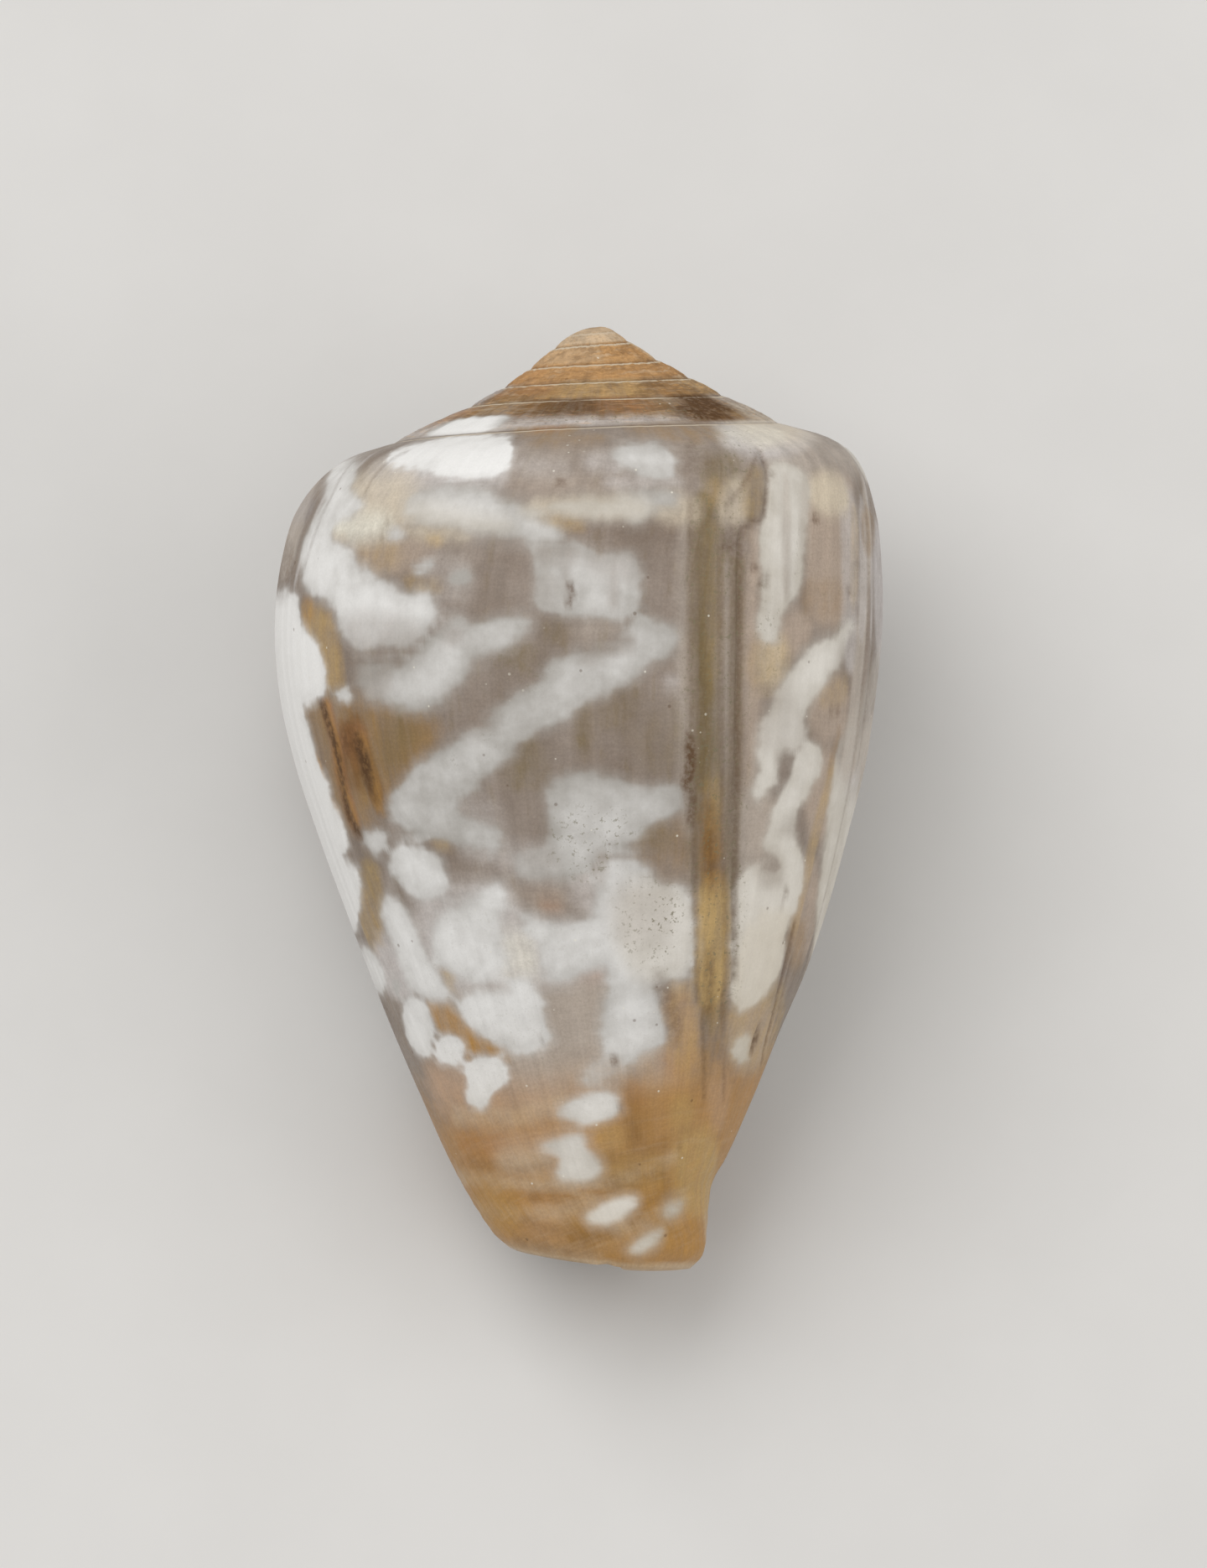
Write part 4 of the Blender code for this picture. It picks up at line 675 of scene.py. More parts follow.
# Lines in the same measure: the pigment, its strength, half its width and its softness in mm, how far
# it sinks the surface in mm, and its path.
LINES = (
    ("russet", 0.45, 0.30, 0.60, 0.0, LEFT_STREAK),
    ("amber", 0.55, 0.15, 0.40, 0.0, LEFT_STREAK),
    ("brown", 0.90, 0.35, 0.60, 0.0, ((-14.2, 31.8), (-13.9, 30.6), (-13.4, 28.8), (-13.0, 27.6))),
    ("amber", 0.55, 0.15, 0.40, 0.0, ((-13.9, 31.0), (-13.5, 29.6), (-13.1, 28.2), (-12.9, 27.0))),
    ("umber", 0.85, 0.14, 0.40, 0.02, (
        (-16.2, 33.0), (-15.9, 32.0), (-15.6, 31.0), (-15.3, 30.0), (-15.15, 29.0), (-15.0, 28.0),
        (-14.9, 27.2), (-14.6, 26.3), (-14.2, 25.6))),
    ("umber", 0.90, 0.24, 0.50, 0.02, ((-14.1, 30.6), (-13.75, 29.6), (-13.5, 28.6))),
    ("umber", 0.45, 0.12, 0.40, 0.02, ((-13.5, 28.8), (-13.3, 28.0), (-13.1, 27.2))),
    ("olive", 0.60, 0.15, 0.30, 0.0, ((-11.7, 33.0), (-11.7, 31.5))),
    ("amber", 0.80, 0.20, 0.30, 0.0, ((-16.6, 29.9), (-16.3, 29.1))),
    ("amber", 0.80, 0.20, 0.30, 0.0, ((-15.8, 27.2), (-15.3, 26.5))),
    ("umber", 0.35, 0.25, 0.60, 0.0, ((3.4, 16.7), (3.9, 15.6), (4.2, 14.8), (4.2, 13.8))),
    # Growth lines on the left shoulder, and a painted shadow below its bright patch.
    ("veil", 0.70, 0.06, 0.25, 0.0, ((-14.8, 47.0), (-15.9, 45.4), (-16.8, 43.3), (-17.8, 40.0))),
    ("veil", 0.60, 0.06, 0.25, 0.0, ((-13.4, 47.4), (-14.6, 46.2), (-15.4, 44.8), (-16.1, 43.2))),
    ("umber", 0.25, 0.05, 0.25, 0.03, ((-14.4, 47.1), (-15.6, 45.2), (-16.5, 43.2), (-17.4, 40.4))),
    ("umber", 0.30, 0.04, 0.20, 0.03, (
        (-11.2, 47.6), (-12.0, 47.3), (-12.8, 46.6), (-13.3, 46.0), (-13.7, 45.2))),
    ("umber", 0.30, 0.04, 0.20, 0.03, ((-12.7, 42.3), (-12.75, 43.0), (-12.4, 43.3), (-12.4, 43.7))),
    # Painted shadow: a faint dark band just below the bright shoulder patch.
    ("umber", 0.10, 0.10, 0.50, 0.0, ((-9.6, 45.9), (-8.4, 45.8), (-6.2, 45.8))),
    # Slanting streaks on the foot.
    ("sand", 0.35, 0.12, 0.50, 0.0, ((-1.6, 4.95), (0.2, 5.1), (1.4, 5.4), (3.2, 6.0), (4.4, 6.7))),
    ("sand", 0.40, 0.15, 0.60, 0.0, ((-8.2, 5.3), (-5.4, 5.1), (-3.0, 5.0), (-1.6, 4.95))),
    ("sand", 0.30, 0.15, 0.60, 0.0, ((-7.0, 3.5), (-4.6, 3.3), (-2.4, 3.4), (-0.6, 4.2))),
    ("sand", 0.25, 0.12, 0.50, 0.0, ((0.9, 2.3), (2.2, 2.7), (3.0, 3.1), (3.9, 3.6))),
    ("sand", 0.30, 0.25, 0.70, 0.0, ((-8.4, 8.9), (-5.6, 8.9), (-3.4, 9.4), (-2.4, 9.9))),
    ("brown", 0.40, 0.18, 0.60, 0.0, ((-0.6, 6.3), (0.4, 6.5), (2.0, 6.8), (3.6, 7.3), (5.0, 8.0))),
    ("umber", 0.20, 0.10, 0.50, 0.0, ((0.6, 5.0), (2.0, 5.2), (3.4, 5.7))),
    ("brown", 0.55, 0.25, 0.60, 0.0, ((-3.8, 4.5), (-2.0, 4.6), (-0.6, 4.8), (0.8, 5.1))),
    ("brown", 0.55, 0.35, 0.80, 0.0, ((2.0, 3.3), (2.8, 3.4), (3.6, 4.0), (4.4, 4.8))),
    ("brown", 0.60, 0.22, 0.60, 0.0, ((-1.5, 2.0), (-0.6, 2.0), (0.6, 2.4))),
    ("umber", 0.20, 0.12, 0.50, 0.0, ((-5.0, 1.7), (-2.8, 1.3), (-0.6, 1.2))),
    ("umber", 0.16, 0.12, 0.50, 0.0, ((-7.6, 6.2), (-5.0, 5.9), (-3.0, 6.2))),
    ("umber", 0.18, 0.12, 0.50, 0.0, ((-4.4, 2.9), (-3.4, 2.4), (-2.4, 2.2))),
    ("sand", 0.60, 0.10, 0.25, 0.0, ((-6.2, 1.5), (-4.4, 0.95), (-0.8, 0.45), (1.6, 0.2), (5.2, 0.1))),
    # The healed scar and the growth lines beside it.
    ("olive", 0.90, 0.25, 0.80, 0.0, ((6.0, 44.6), (6.1, 40.0), (6.1, 34.0), (5.95, 28.5))),
    ("umber", 0.20, 0.15, 0.80, 0.0, (
        (5.7, 44.0), (5.75, 36.0), (5.9, 31.0), (5.8, 28.0), (6.2, 26.5), (6.3, 23.5), (6.35, 21.8))),
    # Along the healed break's step: a dark line that is partly painted shade in the groove there.
    ("umber", 0.42, 0.05, 0.25, 0.10, (
        (9.2, 47.5), (9.5, 46.6), (9.6, 45.8), (9.5, 44.8), (9.4, 43.8), (9.0, 43.5), (8.2, 43.2),
        (8.05, 42.5), (8.0, 40.0), (8.0, 36.0), (7.9, 33.0), (7.9, 30.0), (7.8, 27.0), (7.7, 22.0),
        (7.7, 17.0))),
    ("umber", 0.26, 0.16, 0.60, 0.0, (
        (7.75, 43.0), (7.8, 39.0), (7.75, 35.0), (7.75, 31.0), (7.6, 28.0), (7.5, 24.0))),
    ("olive", 0.40, 0.20, 0.60, 0.0, ((7.8, 41.0), (7.8, 36.0), (7.7, 30.0), (7.5, 25.0), (7.3, 20.0))),
    ("umber", 0.30, 0.04, 0.22, 0.05, (
        (7.2, 44.3), (7.6, 44.8), (8.1, 45.4), (8.5, 46.0), (8.7, 46.6), (9.0, 47.4))),
    ("umber", 0.30, 0.05, 0.30, 0.07, (
        (5.2, 44.5), (5.15, 40.0), (5.2, 35.0), (5.3, 29.0), (5.45, 22.0), (5.6, 16.0))),
    ("umber", 0.80, 0.16, 0.40, 0.05, ((5.15, 30.8), (5.2, 29.6), (5.1, 28.8), (4.9, 28.0))),
    ("umber", 0.60, 0.12, 0.35, 0.05, ((5.3, 27.8), (5.3, 26.9), (5.2, 26.2))),
    ("umber", 0.25, 0.06, 0.30, 0.05, (
        (6.9, 42.0), (6.95, 36.0), (7.0, 30.0), (7.1, 24.0), (7.2, 18.0), (7.1, 14.0))),
    ("umber", 0.30, 0.04, 0.25, 0.02, ((5.85, 15.0), (5.95, 12.0), (5.95, 10.0))),
    ("umber", 0.35, 0.06, 0.25, 0.03, ((7.05, 16.4), (7.0, 14.6))),
    ("umber", 0.30, 0.05, 0.25, 0.03, ((7.1, 12.0), (7.1, 9.8))),
    ("umber", 0.45, 0.07, 0.25, 0.08, (
        (11.2, 20.2), (10.9, 18.8), (10.6, 17.6), (10.2, 16.0), (9.9, 14.5), (9.5, 13.0),
        (9.3, 12.0))),
    ("umber", 0.25, 0.05, 0.25, 0.03, ((11.0, 18.0), (10.6, 16.4), (10.2, 14.8), (9.7, 13.0))),
    ("gold", 0.50, 0.18, 0.70, 0.0, (
        (13.4, 28.9), (12.9, 27.0), (12.4, 25.2), (12.1, 24.0), (11.9, 22.8), (11.5, 21.5),
        (11.2, 20.3))),
    ("tan", 0.55, 0.12, 0.40, 0.0, ((13.8, 31.0), (13.4, 29.6), (13.3, 28.8))),
    ("umber", 0.25, 0.05, 0.25, 0.03, (
        (15.2, 46.0), (15.5, 43.0), (15.55, 40.0), (15.5, 37.0), (15.1, 33.0), (14.4, 28.0),
        (13.1, 22.0), (12.2, 18.6))),
    ("umber", 0.22, 0.05, 0.25, 0.03, (
        (15.6, 45.6), (15.9, 43.0), (16.0, 40.0), (15.9, 37.0), (15.6, 34.0), (14.9, 29.0))),
    ("veil", 0.60, 0.06, 0.25, 0.0, ((15.35, 46.0), (15.7, 43.0), (15.75, 40.0), (15.7, 37.0))),
    ("umber", 0.35, 0.05, 0.20, 0.03, ((13.1, 32.2), (13.4, 32.5), (13.5, 32.2), (13.8, 32.6))),
    # Pits and dark flecks.
    ("umber", 0.60, 0.07, 0.20, 0.10, ((-1.85, 38.7), (-1.65, 39.0), (-1.65, 39.5), (-1.85, 39.9))),
    ("umber", 0.65, 0.18, 0.25, 0.12, ((8.75, 13.1), (8.95, 13.5), (9.0, 13.8))),
    ("umber", 0.55, 0.14, 0.25, 0.08, ((7.2, 42.0), (7.7, 42.0))),
    ("umber", 0.50, 0.14, 0.25, 0.08, ((8.8, 40.9), (8.85, 40.9))),
    ("umber", 0.50, 0.12, 0.25, 0.08, ((9.2, 40.0), (9.6, 40.1))),
    ("umber", 0.55, 0.14, 0.25, 0.08, ((12.4, 43.7), (12.5, 43.7))),
    ("umber", 0.35, 0.12, 0.25, 0.08, ((9.8, 46.2), (9.85, 46.2))),
    ("umber", 0.45, 0.15, 0.35, 0.08, ((14.4, 39.3), (14.45, 39.4))),
    ("umber", 0.40, 0.12, 0.30, 0.04, ((10.5, 21.6), (10.7, 21.9))),
    ("umber", 0.30, 0.20, 0.35, 0.04, ((5.1, 47.5), (5.2, 47.8))),
    ("umber", 0.55, 0.09, 0.22, 0.04, ((0.75, 12.2), (0.95, 12.0))),
    ("umber", 0.60, 0.08, 0.22, 0.04, ((1.05, 9.7), (1.15, 9.7))),
    ("umber", 0.60, 0.08, 0.22, 0.04, ((-3.45, 13.25), (-3.4, 13.2))),
    ("umber", 0.50, 0.07, 0.22, 0.04, ((4.5, 7.0), (4.6, 7.0))),
    ("umber", 0.50, 0.08, 0.22, 0.04, ((0.75, 25.1), (0.8, 25.0))),
    ("umber", 0.45, 0.10, 0.25, 0.04, ((-2.4, 45.7), (-2.2, 45.7))),
)

# Dirt in the surface's pores, as outlines with a strength and a softness.
DIRT = (
    (1.00, 1.6, ((2.6, 23.0), (4.8, 22.0), (4.9, 18.4), (3.6, 17.2), (2.8, 18.4), (2.2, 21.0))),
    (0.60, 1.2, ((0.6, 23.6), (4.8, 22.0), (4.8, 19.0), (3.6, 17.2), (1.6, 17.6), (0.8, 20.0))),
    (0.80, 1.5, ((-3.0, 27.0), (2.6, 26.8), (1.6, 24.2), (-0.6, 22.2), (-3.2, 23.2))),
    (0.70, 0.6, ((4.7, 31.6), (5.6, 31.6), (5.5, 28.0), (4.7, 28.0))),
    (0.60, 0.8, ((-6.9, 31.1), (-5.9, 31.1), (-5.9, 30.4), (-6.9, 30.4))),
    (0.60, 0.8, ((-8.9, 29.8), (-8.1, 29.8), (-8.1, 29.1), (-8.9, 29.1))),
    (0.45, 2.0, ((-7.0, 35.6), (-3.6, 36.8), (-2.6, 34.0), (-6.6, 33.2))),
    (0.15, 2.5, ((-12.0, 22.0), (8.0, 22.0), (6.0, 9.0), (-9.0, 9.0))),
    (0.80, 1.2, ((4.6, 46.0), (8.6, 46.0), (8.4, 24.0), (7.6, 14.0), (5.6, 14.0), (4.8, 24.0))),
    (0.70, 0.8, ((4.4, 49.2), (8.6, 49.2), (9.6, 46.0), (8.4, 44.0), (5.0, 46.6))),
    (0.30, 1.0, ((10.4, 44.0), (15.4, 46.0), (15.4, 34.0), (12.0, 38.0))),
    (0.50, 0.9, ((8.4, 40.0), (9.9, 40.0), (10.8, 36.0), (9.4, 32.0), (8.6, 36.0))),
)

# Pale crumbs that cling to the surface, in the same way.
CRUMBS = (
    (1.0, 0.8, ((-9.4, 31.4), (-7.6, 31.2), (-7.8, 29.4), (-9.4, 29.8))),
    (1.0, 0.6, ((-5.5, 31.6), (-4.5, 31.6), (-4.5, 30.2), (-5.5, 30.2))),
    (1.0, 0.6, ((-6.6, 27.6), (-5.9, 27.6), (-5.9, 26.7), (-6.6, 26.7))),
    (1.0, 0.6, ((-4.2, 23.0), (-3.4, 23.0), (-3.1, 21.2), (-4.0, 21.2))),
    (0.8, 1.0, ((-7.0, 34.8), (-4.2, 34.8), (-4.4, 33.2), (-6.8, 33.4))),
    (0.7, 1.0, ((-5.2, 37.0), (-2.6, 37.2), (-3.0, 35.8), (-5.2, 35.6))),
    (0.8, 0.5, ((4.8, 33.4), (6.2, 33.4), (6.2, 29.6), (4.8, 29.6))),
    (0.6, 0.8, ((-2.4, 49.0), (0.6, 49.2), (0.6, 47.6), (-2.4, 47.4))),
)

PIGMENTS = (
    "orange", "blush", "rose", "haze", "veil", "tan", "olive", "brown", "russet", "sand", "gold", "amber",
    "honey", "crumb", "slate", "umber",
)
BLOTTED = ("olive", "tan", "brown", "gold", "amber")  # pigments that lie in uneven streaks
MASKS = PIGMENTS + ("cloud", "blur", "milk", "thin", "cream", "dirt", "crumbs", "spiral")
# Kept with the corners of faces, because they jump from one part of the surface to the next: mm across
# the spiral streaks and mm above the next suture, then how much it is inside and how plain its suture is.
JUMPING = {"across": ("across", "above"), "inner": ("inside", "seam")}
FAR_ABOVE = 9.0  # mm, where there is no suture below
PLAIN_BLUR = 0.4  # mm, where no cloud is near
RING_TOP, RING_SOFT = 12.5, 4.0  # mm of height up to which the foot is orange all round
RING_FROM, RING_OVER = 65.0, 25.0  # degrees round past which it is, where the photo shows nothing
RING_DEPTH = 0.9  # how strong that orange is
INSIDE_OVER = 0.03  # turns past the lip over which the whorl before loses its colours

CREAM_FOOT, CREAM_TOP = 0.8, 16.0  # how warm the whites are at the foot, and mm of height below which
CREAM_RIGHT, CREAM_OVER = 6.0, 3.0  # mm round to the right past which they are too, and over which
CREAM_HIGH, CREAM_TURNS = 0.55, 34.0  # how much at the top there, and mm of height below which more
SEAM_FROM, SEAM_OVER = 46.5, 1.0  # mm of height above which the last suture's line shows
LAST_SPIRAL = 0.4  # how strong the streaks on the foot are
SPIRAL_TOP, SPIRAL_OVER = 12.0, 6.0  # mm of height where they end, and over which they do
STREAK_RISE, STREAK_TOP = 0.36, 16.0  # how steeply they rise to the right, and up to where
CLOUD_REACH = 1.5  # mm either side of a cloud's edge within which its distance is kept
ROUNDS = 12  # tries at finding the place round the shell that the photo shows at a point

OUTLINE_TURNS = (0.13, 0.383, 0.633)  # the back's left edge, its middle and its right edge
LEFT_OUTLINE, MIDDLE_OUTLINE, RIGHT_OUTLINE = (outline(turn) for turn in OUTLINE_TURNS)


def radius_at(curve, height):
    return np.interp(height, curve[::-1, 1], curve[::-1, 0])


def side_radius(turn, height):
    """Radius of the last whorl at this turn and height, through three of its outlines."""
    left, middle, right = (radius_at(c, height) for c in (LEFT_OUTLINE, MIDDLE_OUTLINE, RIGHT_OUTLINE))
    a, b, c = OUTLINE_TURNS
    return (
        left * (turn - b) * (turn - c) / ((a - b) * (a - c))
        + middle * (turn - a) * (turn - c) / ((b - a) * (b - c))
        + right * (turn - a) * (turn - b) / ((c - a) * (c - b))
    )


def unrolled(phi, height):
    """Places on the last whorl laid out flat, in mm: round from the middle of the back, and up."""
    return np.column_stack((radius_at(MIDDLE_OUTLINE, height) * np.radians(phi), height))


def laid_out(marks):
    """Marks read off the photo, laid out flat in the same way."""
    x, height = np.array(marks, float).T
    phi = np.zeros_like(x)
    for _ in range(ROUNDS):
        turn = (phi - degrees_round(0, height)) / 360
        radius = side_radius(turn, height)
        phi = 0.5 * phi + 0.5 * np.degrees(np.arcsin(np.clip(x / radius, -1, 1)))
    beyond = np.sign(x) * np.degrees(np.clip(np.abs(x) / radius - 1, 0, None))
    return unrolled(phi + beyond, height)


def rounded(outline_points):
    """A closed outline with its corners cut twice."""
    for _ in range(2):
        after = np.roll(outline_points, -1, axis=0)
        cut = np.stack((outline_points * 0.75 + after * 0.25, outline_points * 0.25 + after * 0.75), axis=1)
        outline_points = cut.reshape(-1, 2)
    return outline_points


def gaps(at, start, end):
    """How far each place is from a straight piece."""
    along = end - start
    share = np.clip((at - start) @ along / max(along @ along, HAIR), 0, 1)
    return np.linalg.norm(at - start - share[:, None] * along, axis=1)


def depth_inside(at, outline_points):
    """How far inside a closed outline each place is, and less than 0 outside it."""
    nearest = np.full(len(at), np.inf)
    inside = np.zeros(len(at), bool)
    for start, end in zip(outline_points, np.roll(outline_points, -1, axis=0)):
        nearest = np.minimum(nearest, gaps(at, start, end))
        crossed = (start[1] > at[:, 1]) != (end[1] > at[:, 1])
        rise = end[1] - start[1]
        if rise:
            inside ^= crossed & (at[:, 0] < start[0] + (at[:, 1] - start[1]) * (end[0] - start[0]) / rise)
    return np.where(inside, nearest, -nearest)


def close_by(at, points, reach):
    """Which places lie near enough to a mark to be worth working out."""
    low, high = points.min(axis=0) - reach, points.max(axis=0) + reach
    return np.flatnonzero(((at > low) & (at < high)).all(axis=1))


def blank(shape):
    """Every mask, with nothing painted."""
    names = [*MASKS, *(name for pair in JUMPING.values() for name in pair)]
    masks = {name: np.zeros(shape) for name in names}
    masks["cloud"] -= CLOUD_REACH
    masks["blur"] += PLAIN_BLUR
    masks["above"] += FAR_ABOVE
    return masks


def paint_clouds(masks, at, shift, mirror, names):
    """Adds white clouds, moved round the shell by a shift in degrees and mirrored if asked."""
    for name in names:
        strength, softness, marks = CLOUDS[name]
        points = rounded(laid_out(marks))
        radius = radius_at(MIDDLE_OUTLINE, points[:, 1])
        points[:, 0] = points[:, 0] * mirror + radius * math.radians(shift)
        near = close_by(at, points, CLOUD_REACH)
        depth = depth_inside(at[near], points)
        over = depth > masks["cloud"][near]
        hit = near[over]
        masks["cloud"][hit] = np.minimum(depth[over], CLOUD_REACH)
        masks["blur"][hit] = softness
        masks["milk"][hit] = strength


def paint_side(phi, height):
    """Every mask of the last whorl, at places given by degrees round and height."""
    at = unrolled(phi.ravel(), height.ravel())
    masks = blank(len(at))
    ring = eased((RING_TOP - at[:, 1]) / RING_SOFT) * eased((np.abs(phi.ravel()) - RING_FROM) / RING_OVER)
    masks["orange"] = RING_DEPTH * ring
    for shift, mirror in ((0, 1), (180, -1), (-180, -1)):
        paint_clouds(masks, at, shift, mirror, CLOUDS)
    paint_clouds(masks, at, FAR_SHIFT, -1, FAR_CLOUDS)
    masks["cream"] = CREAM_FOOT * eased((CREAM_TOP - at[:, 1]) / CREAM_TOP)
    right = eased((at[:, 0] - CREAM_RIGHT) / CREAM_OVER)
    right *= CREAM_HIGH + (1 - CREAM_HIGH) * eased((CREAM_TURNS - at[:, 1]) / CREAM_TURNS)
    masks["cream"] = np.maximum(masks["cream"], right)
    masks["spiral"] = LAST_SPIRAL * eased((SPIRAL_TOP - at[:, 1]) / SPIRAL_OVER)
    masks["seam"] = eased((at[:, 1] - SEAM_FROM) / SEAM_OVER)
    masks["across"] = at[:, 1] - STREAK_RISE * at[:, 0] * eased((STREAK_TOP - at[:, 1]) / STREAK_TOP)
    dirt = [("dirt", *mark) for mark in DIRT]
    crumbs = [("crumbs", *mark) for mark in CRUMBS]
    for name, strength, softness, marks in (*STAINS, *dirt, *crumbs):
        points = rounded(laid_out(marks))
        near = close_by(at, points, softness)
        mask = strength * eased(depth_inside(at[near], points) / softness + 0.5)
        masks[name][near] = np.maximum(masks[name][near], mask)
    sunk = np.zeros(len(at))
    for pigment, strength, half, softness, depth, marks in LINES:
        points = laid_out(marks)
        near = close_by(at, points, half + softness)
        away = np.min([gaps(at[near], a, b) for a, b in zip(points[:-1], points[1:])], axis=0)
        mask = eased((half - away) / softness + 1)
        masks[pigment][near] = np.maximum(masks[pigment][near], mask * strength)
        sunk[near] = np.maximum(sunk[near], mask * depth)
    return {name: mask.reshape(phi.shape) for name, mask in masks.items()}, sunk.reshape(phi.shape)


# Marks on the whorls of the spire: the pigment, its strength, from and to which turn, and from and to
# which share of the way from the suture down to the next whorl.
SPIRE_MARKS = (
    # The widest whorl of the spire, from grey through its brown stains to the cream beside the scar.
    ("haze", 0.85, 1.02, 1.95, -0.5, 1.5),
    ("tan", 0.85, 1.17, 1.30, -0.5, 0.50),
    ("russet", 0.40, 1.10, 1.20, 0.10, 0.60),
    ("veil", 0.60, 1.10, 1.30, 0.55, 1.5),
    ("veil", 0.80, 1.28, 1.44, 0.66, 1.5),
    ("rose", 0.50, 1.27, 1.33, 0.40, 1.5),
    ("brown", 0.95, 1.27, 1.37, -0.5, 0.62),
    ("umber", 0.62, 1.300, 1.366, 0.00, 0.62),
    ("russet", 0.45, 1.355, 1.42, -0.5, 0.60),
    ("brown", 0.55, 1.355, 1.44, -0.5, 0.60),
    ("tan", 0.85, 1.355, 1.455, -0.5, 0.75),
    ("rose", 0.70, 1.42, 1.48, -0.5, 0.85),
    ("umber", 1.00, 1.462, 1.530, -0.5, 0.65),
    ("umber", 1.00, 1.440, 1.500, 0.35, 0.95),
    ("brown", 0.95, 1.450, 1.530, -0.5, 0.98),
    ("sand", 0.35, 1.52, 1.60, 0.30, 1.5),
    ("gold", 0.50, 1.505, 1.520, 0.45, 0.80),
    ("tan", 0.55, 1.66, 1.95, -0.5, 0.60),
    # The next one in, golden and olive.
    ("veil", 0.70, 2.10, 2.18, -0.5, 1.5),
    ("tan", 0.90, 2.17, 3.02, -0.5, 1.5),
    ("gold", 0.45, 2.29, 2.43, -0.5, 1.5),
    ("gold", 0.20, 2.50, 3.00, -0.5, 1.5),
    ("brown", 0.50, 2.16, 2.31, 0.30, 1.5),
    ("russet", 0.35, 2.17, 2.30, -0.5, 0.7),
    ("brown", 0.70, 2.41, 2.52, -0.5, 1.5),
    ("haze", 0.60, 2.52, 2.62, 0.40, 1.5),
    # Orange, then paler towards the tip.
    ("orange", 0.95, 3.00, 6.00, -0.5, 1.5),
    ("honey", 0.30, 2.95, 6.00, -0.5, 1.5),
    ("honey", 0.15, 2.20, 3.00, -0.5, 1.5),
    ("russet", 0.20, 3.24, 3.60, -0.5, 1.5),
    ("russet", 0.40, 3.02, 3.24, -0.5, 1.5),
    ("brown", 0.40, 3.40, 3.62, -0.5, 1.5),
    ("russet", 0.18, 3.60, 4.10, -0.5, 1.5),
    ("sand", 0.35, 4.10, 4.36, -0.5, 1.5),
    ("russet", 0.20, 4.38, 4.56, -0.5, 0.8),
    ("sand", 0.60, 4.56, 5.10, -0.5, 1.5),
    ("sand", 0.85, 4.98, 5.55, -0.5, 1.5),
    ("sand", 0.50, 5.50, 6.00, -0.5, 1.5),
)
SPIRE_WHITES = (
    (0.95, 1.19, 1.275, 0.48, 1.6), (0.60, 1.60, 1.76, 0.30, 1.6), (0.50, 1.84, 1.96, 0.20, 1.6),
)
MARK_SOFT_TURN, MARK_SOFT_SHARE = 0.045, 0.30
WHITE_STEEP, WHITE_EDGE = 2.0, 0.9  # turn the strength of a white there into mm inside its edge
SPIRE_SPIRAL = 1.5  # how strong the spiral streaks are there
WIDE_RAMP = 2.0  # mm of width below which a ramp's lines and groove are fainter
NEXT_STREAKS = 3.0  # mm by which each whorl's streaks are another part of the pattern
SPIRE_DIRT, DIRTY = 0.9, (1.30, 1.46, 0.1, 0.95)  # how dirty the widest whorl is, and where


def window(turn, share, marked):
    """1 inside a mark on the spire and 0 outside it, with soft edges."""
    first, last, top, foot = marked
    along = eased((turn - first) / MARK_SOFT_TURN + 0.5) * eased((last - turn) / MARK_SOFT_TURN + 0.5)
    down = eased((share - top) / MARK_SOFT_SHARE + 0.5) * eased((foot - share) / MARK_SOFT_SHARE + 0.5)
    return along * down


def paint_spire(turn, share, width):
    """Every mask of the spire, at places given by turn and share, on ramps of a width in mm."""
    masks = blank(share.shape)
    slim = np.clip(width / WIDE_RAMP, 0, 1)
    masks["spiral"] += SPIRE_SPIRAL * (1 + slim) / 2
    masks["seam"] += slim
    below = share * width
    masks["above"] = width - below
    masks["across"] = below + NEXT_STREAKS * np.round(turn - share)
    for pigment, strength, *marked in SPIRE_MARKS:
        masks[pigment] = np.maximum(masks[pigment], strength * window(turn, share, marked))
    whites = [strength * window(turn, share, marked) for strength, *marked in SPIRE_WHITES]
    masks["milk"] = np.max(whites, axis=0)
    masks["cloud"] = masks["milk"] * WHITE_STEEP - WHITE_EDGE
    masks["dirt"] = SPIRE_DIRT * window(turn, share, DIRTY)
    return masks


def groove_depth(turn):
    """How deep the suture's groove is at this turn: it starts behind the lip and fades to the tip."""
    width = np.array([np.linalg.norm(suture(one) - suture(one - 1)) for one in turn])
    ends = eased(turn / END_FADE) * eased(FIRST_TURN - turn)
    return GROOVE_DEPTH * ends * np.clip(width / WIDE_RAMP, 0, 1)


def groove(turn, shares, width):
    """How far the grooves sink a ramp: at its own suture, and at the one below it."""
    own = bump(shares * width, GROOVE_REACH) * groove_depth(turn)[:, None]
    next_one = bump((1 - shares) * width, GROOVE_REACH) * groove_depth(turn - 1)[:, None]
    return np.maximum(own, next_one)


def fine_relief(turn, phi, height):
    """Waves along the growth lines, and low cords round the foot, in mm. They die out at the rim."""
    waves = sum(size * np.sin(2 * math.pi * count * turn + phase) for count, phase, size in WAVES)
    around = radius_at(MIDDLE_OUTLINE, height) * np.radians(phi)
    cords = FOOT_CORDS * np.sin(2 * math.pi * (height - CORD_RISE * around) / CORD_SPACE)
    waves = waves * (WAVE_FOOT + (1 - WAVE_FOOT) * eased(height / WAVE_TOP))
    above_rim = height - height[:, -1:]
    return (waves + cords * eased(1 - height / CORD_TOP)) * eased(above_rim / RIM_FADE)


def ramp_relief(turn, shares):
    """Uneven growth on the whorls of the spire, in mm. It dies out at the sutures and at both ends."""
    lumps = sum(
        size * np.sin(2 * math.pi * count * turn + phase + slant * shares)
        for count, phase, slant, size in RAMP_WAVES
    )
    ends = eased((turn - 1) / END_FADE) * eased(FIRST_TURN - turn)
    return lumps * np.sin(math.pi * shares) * ends


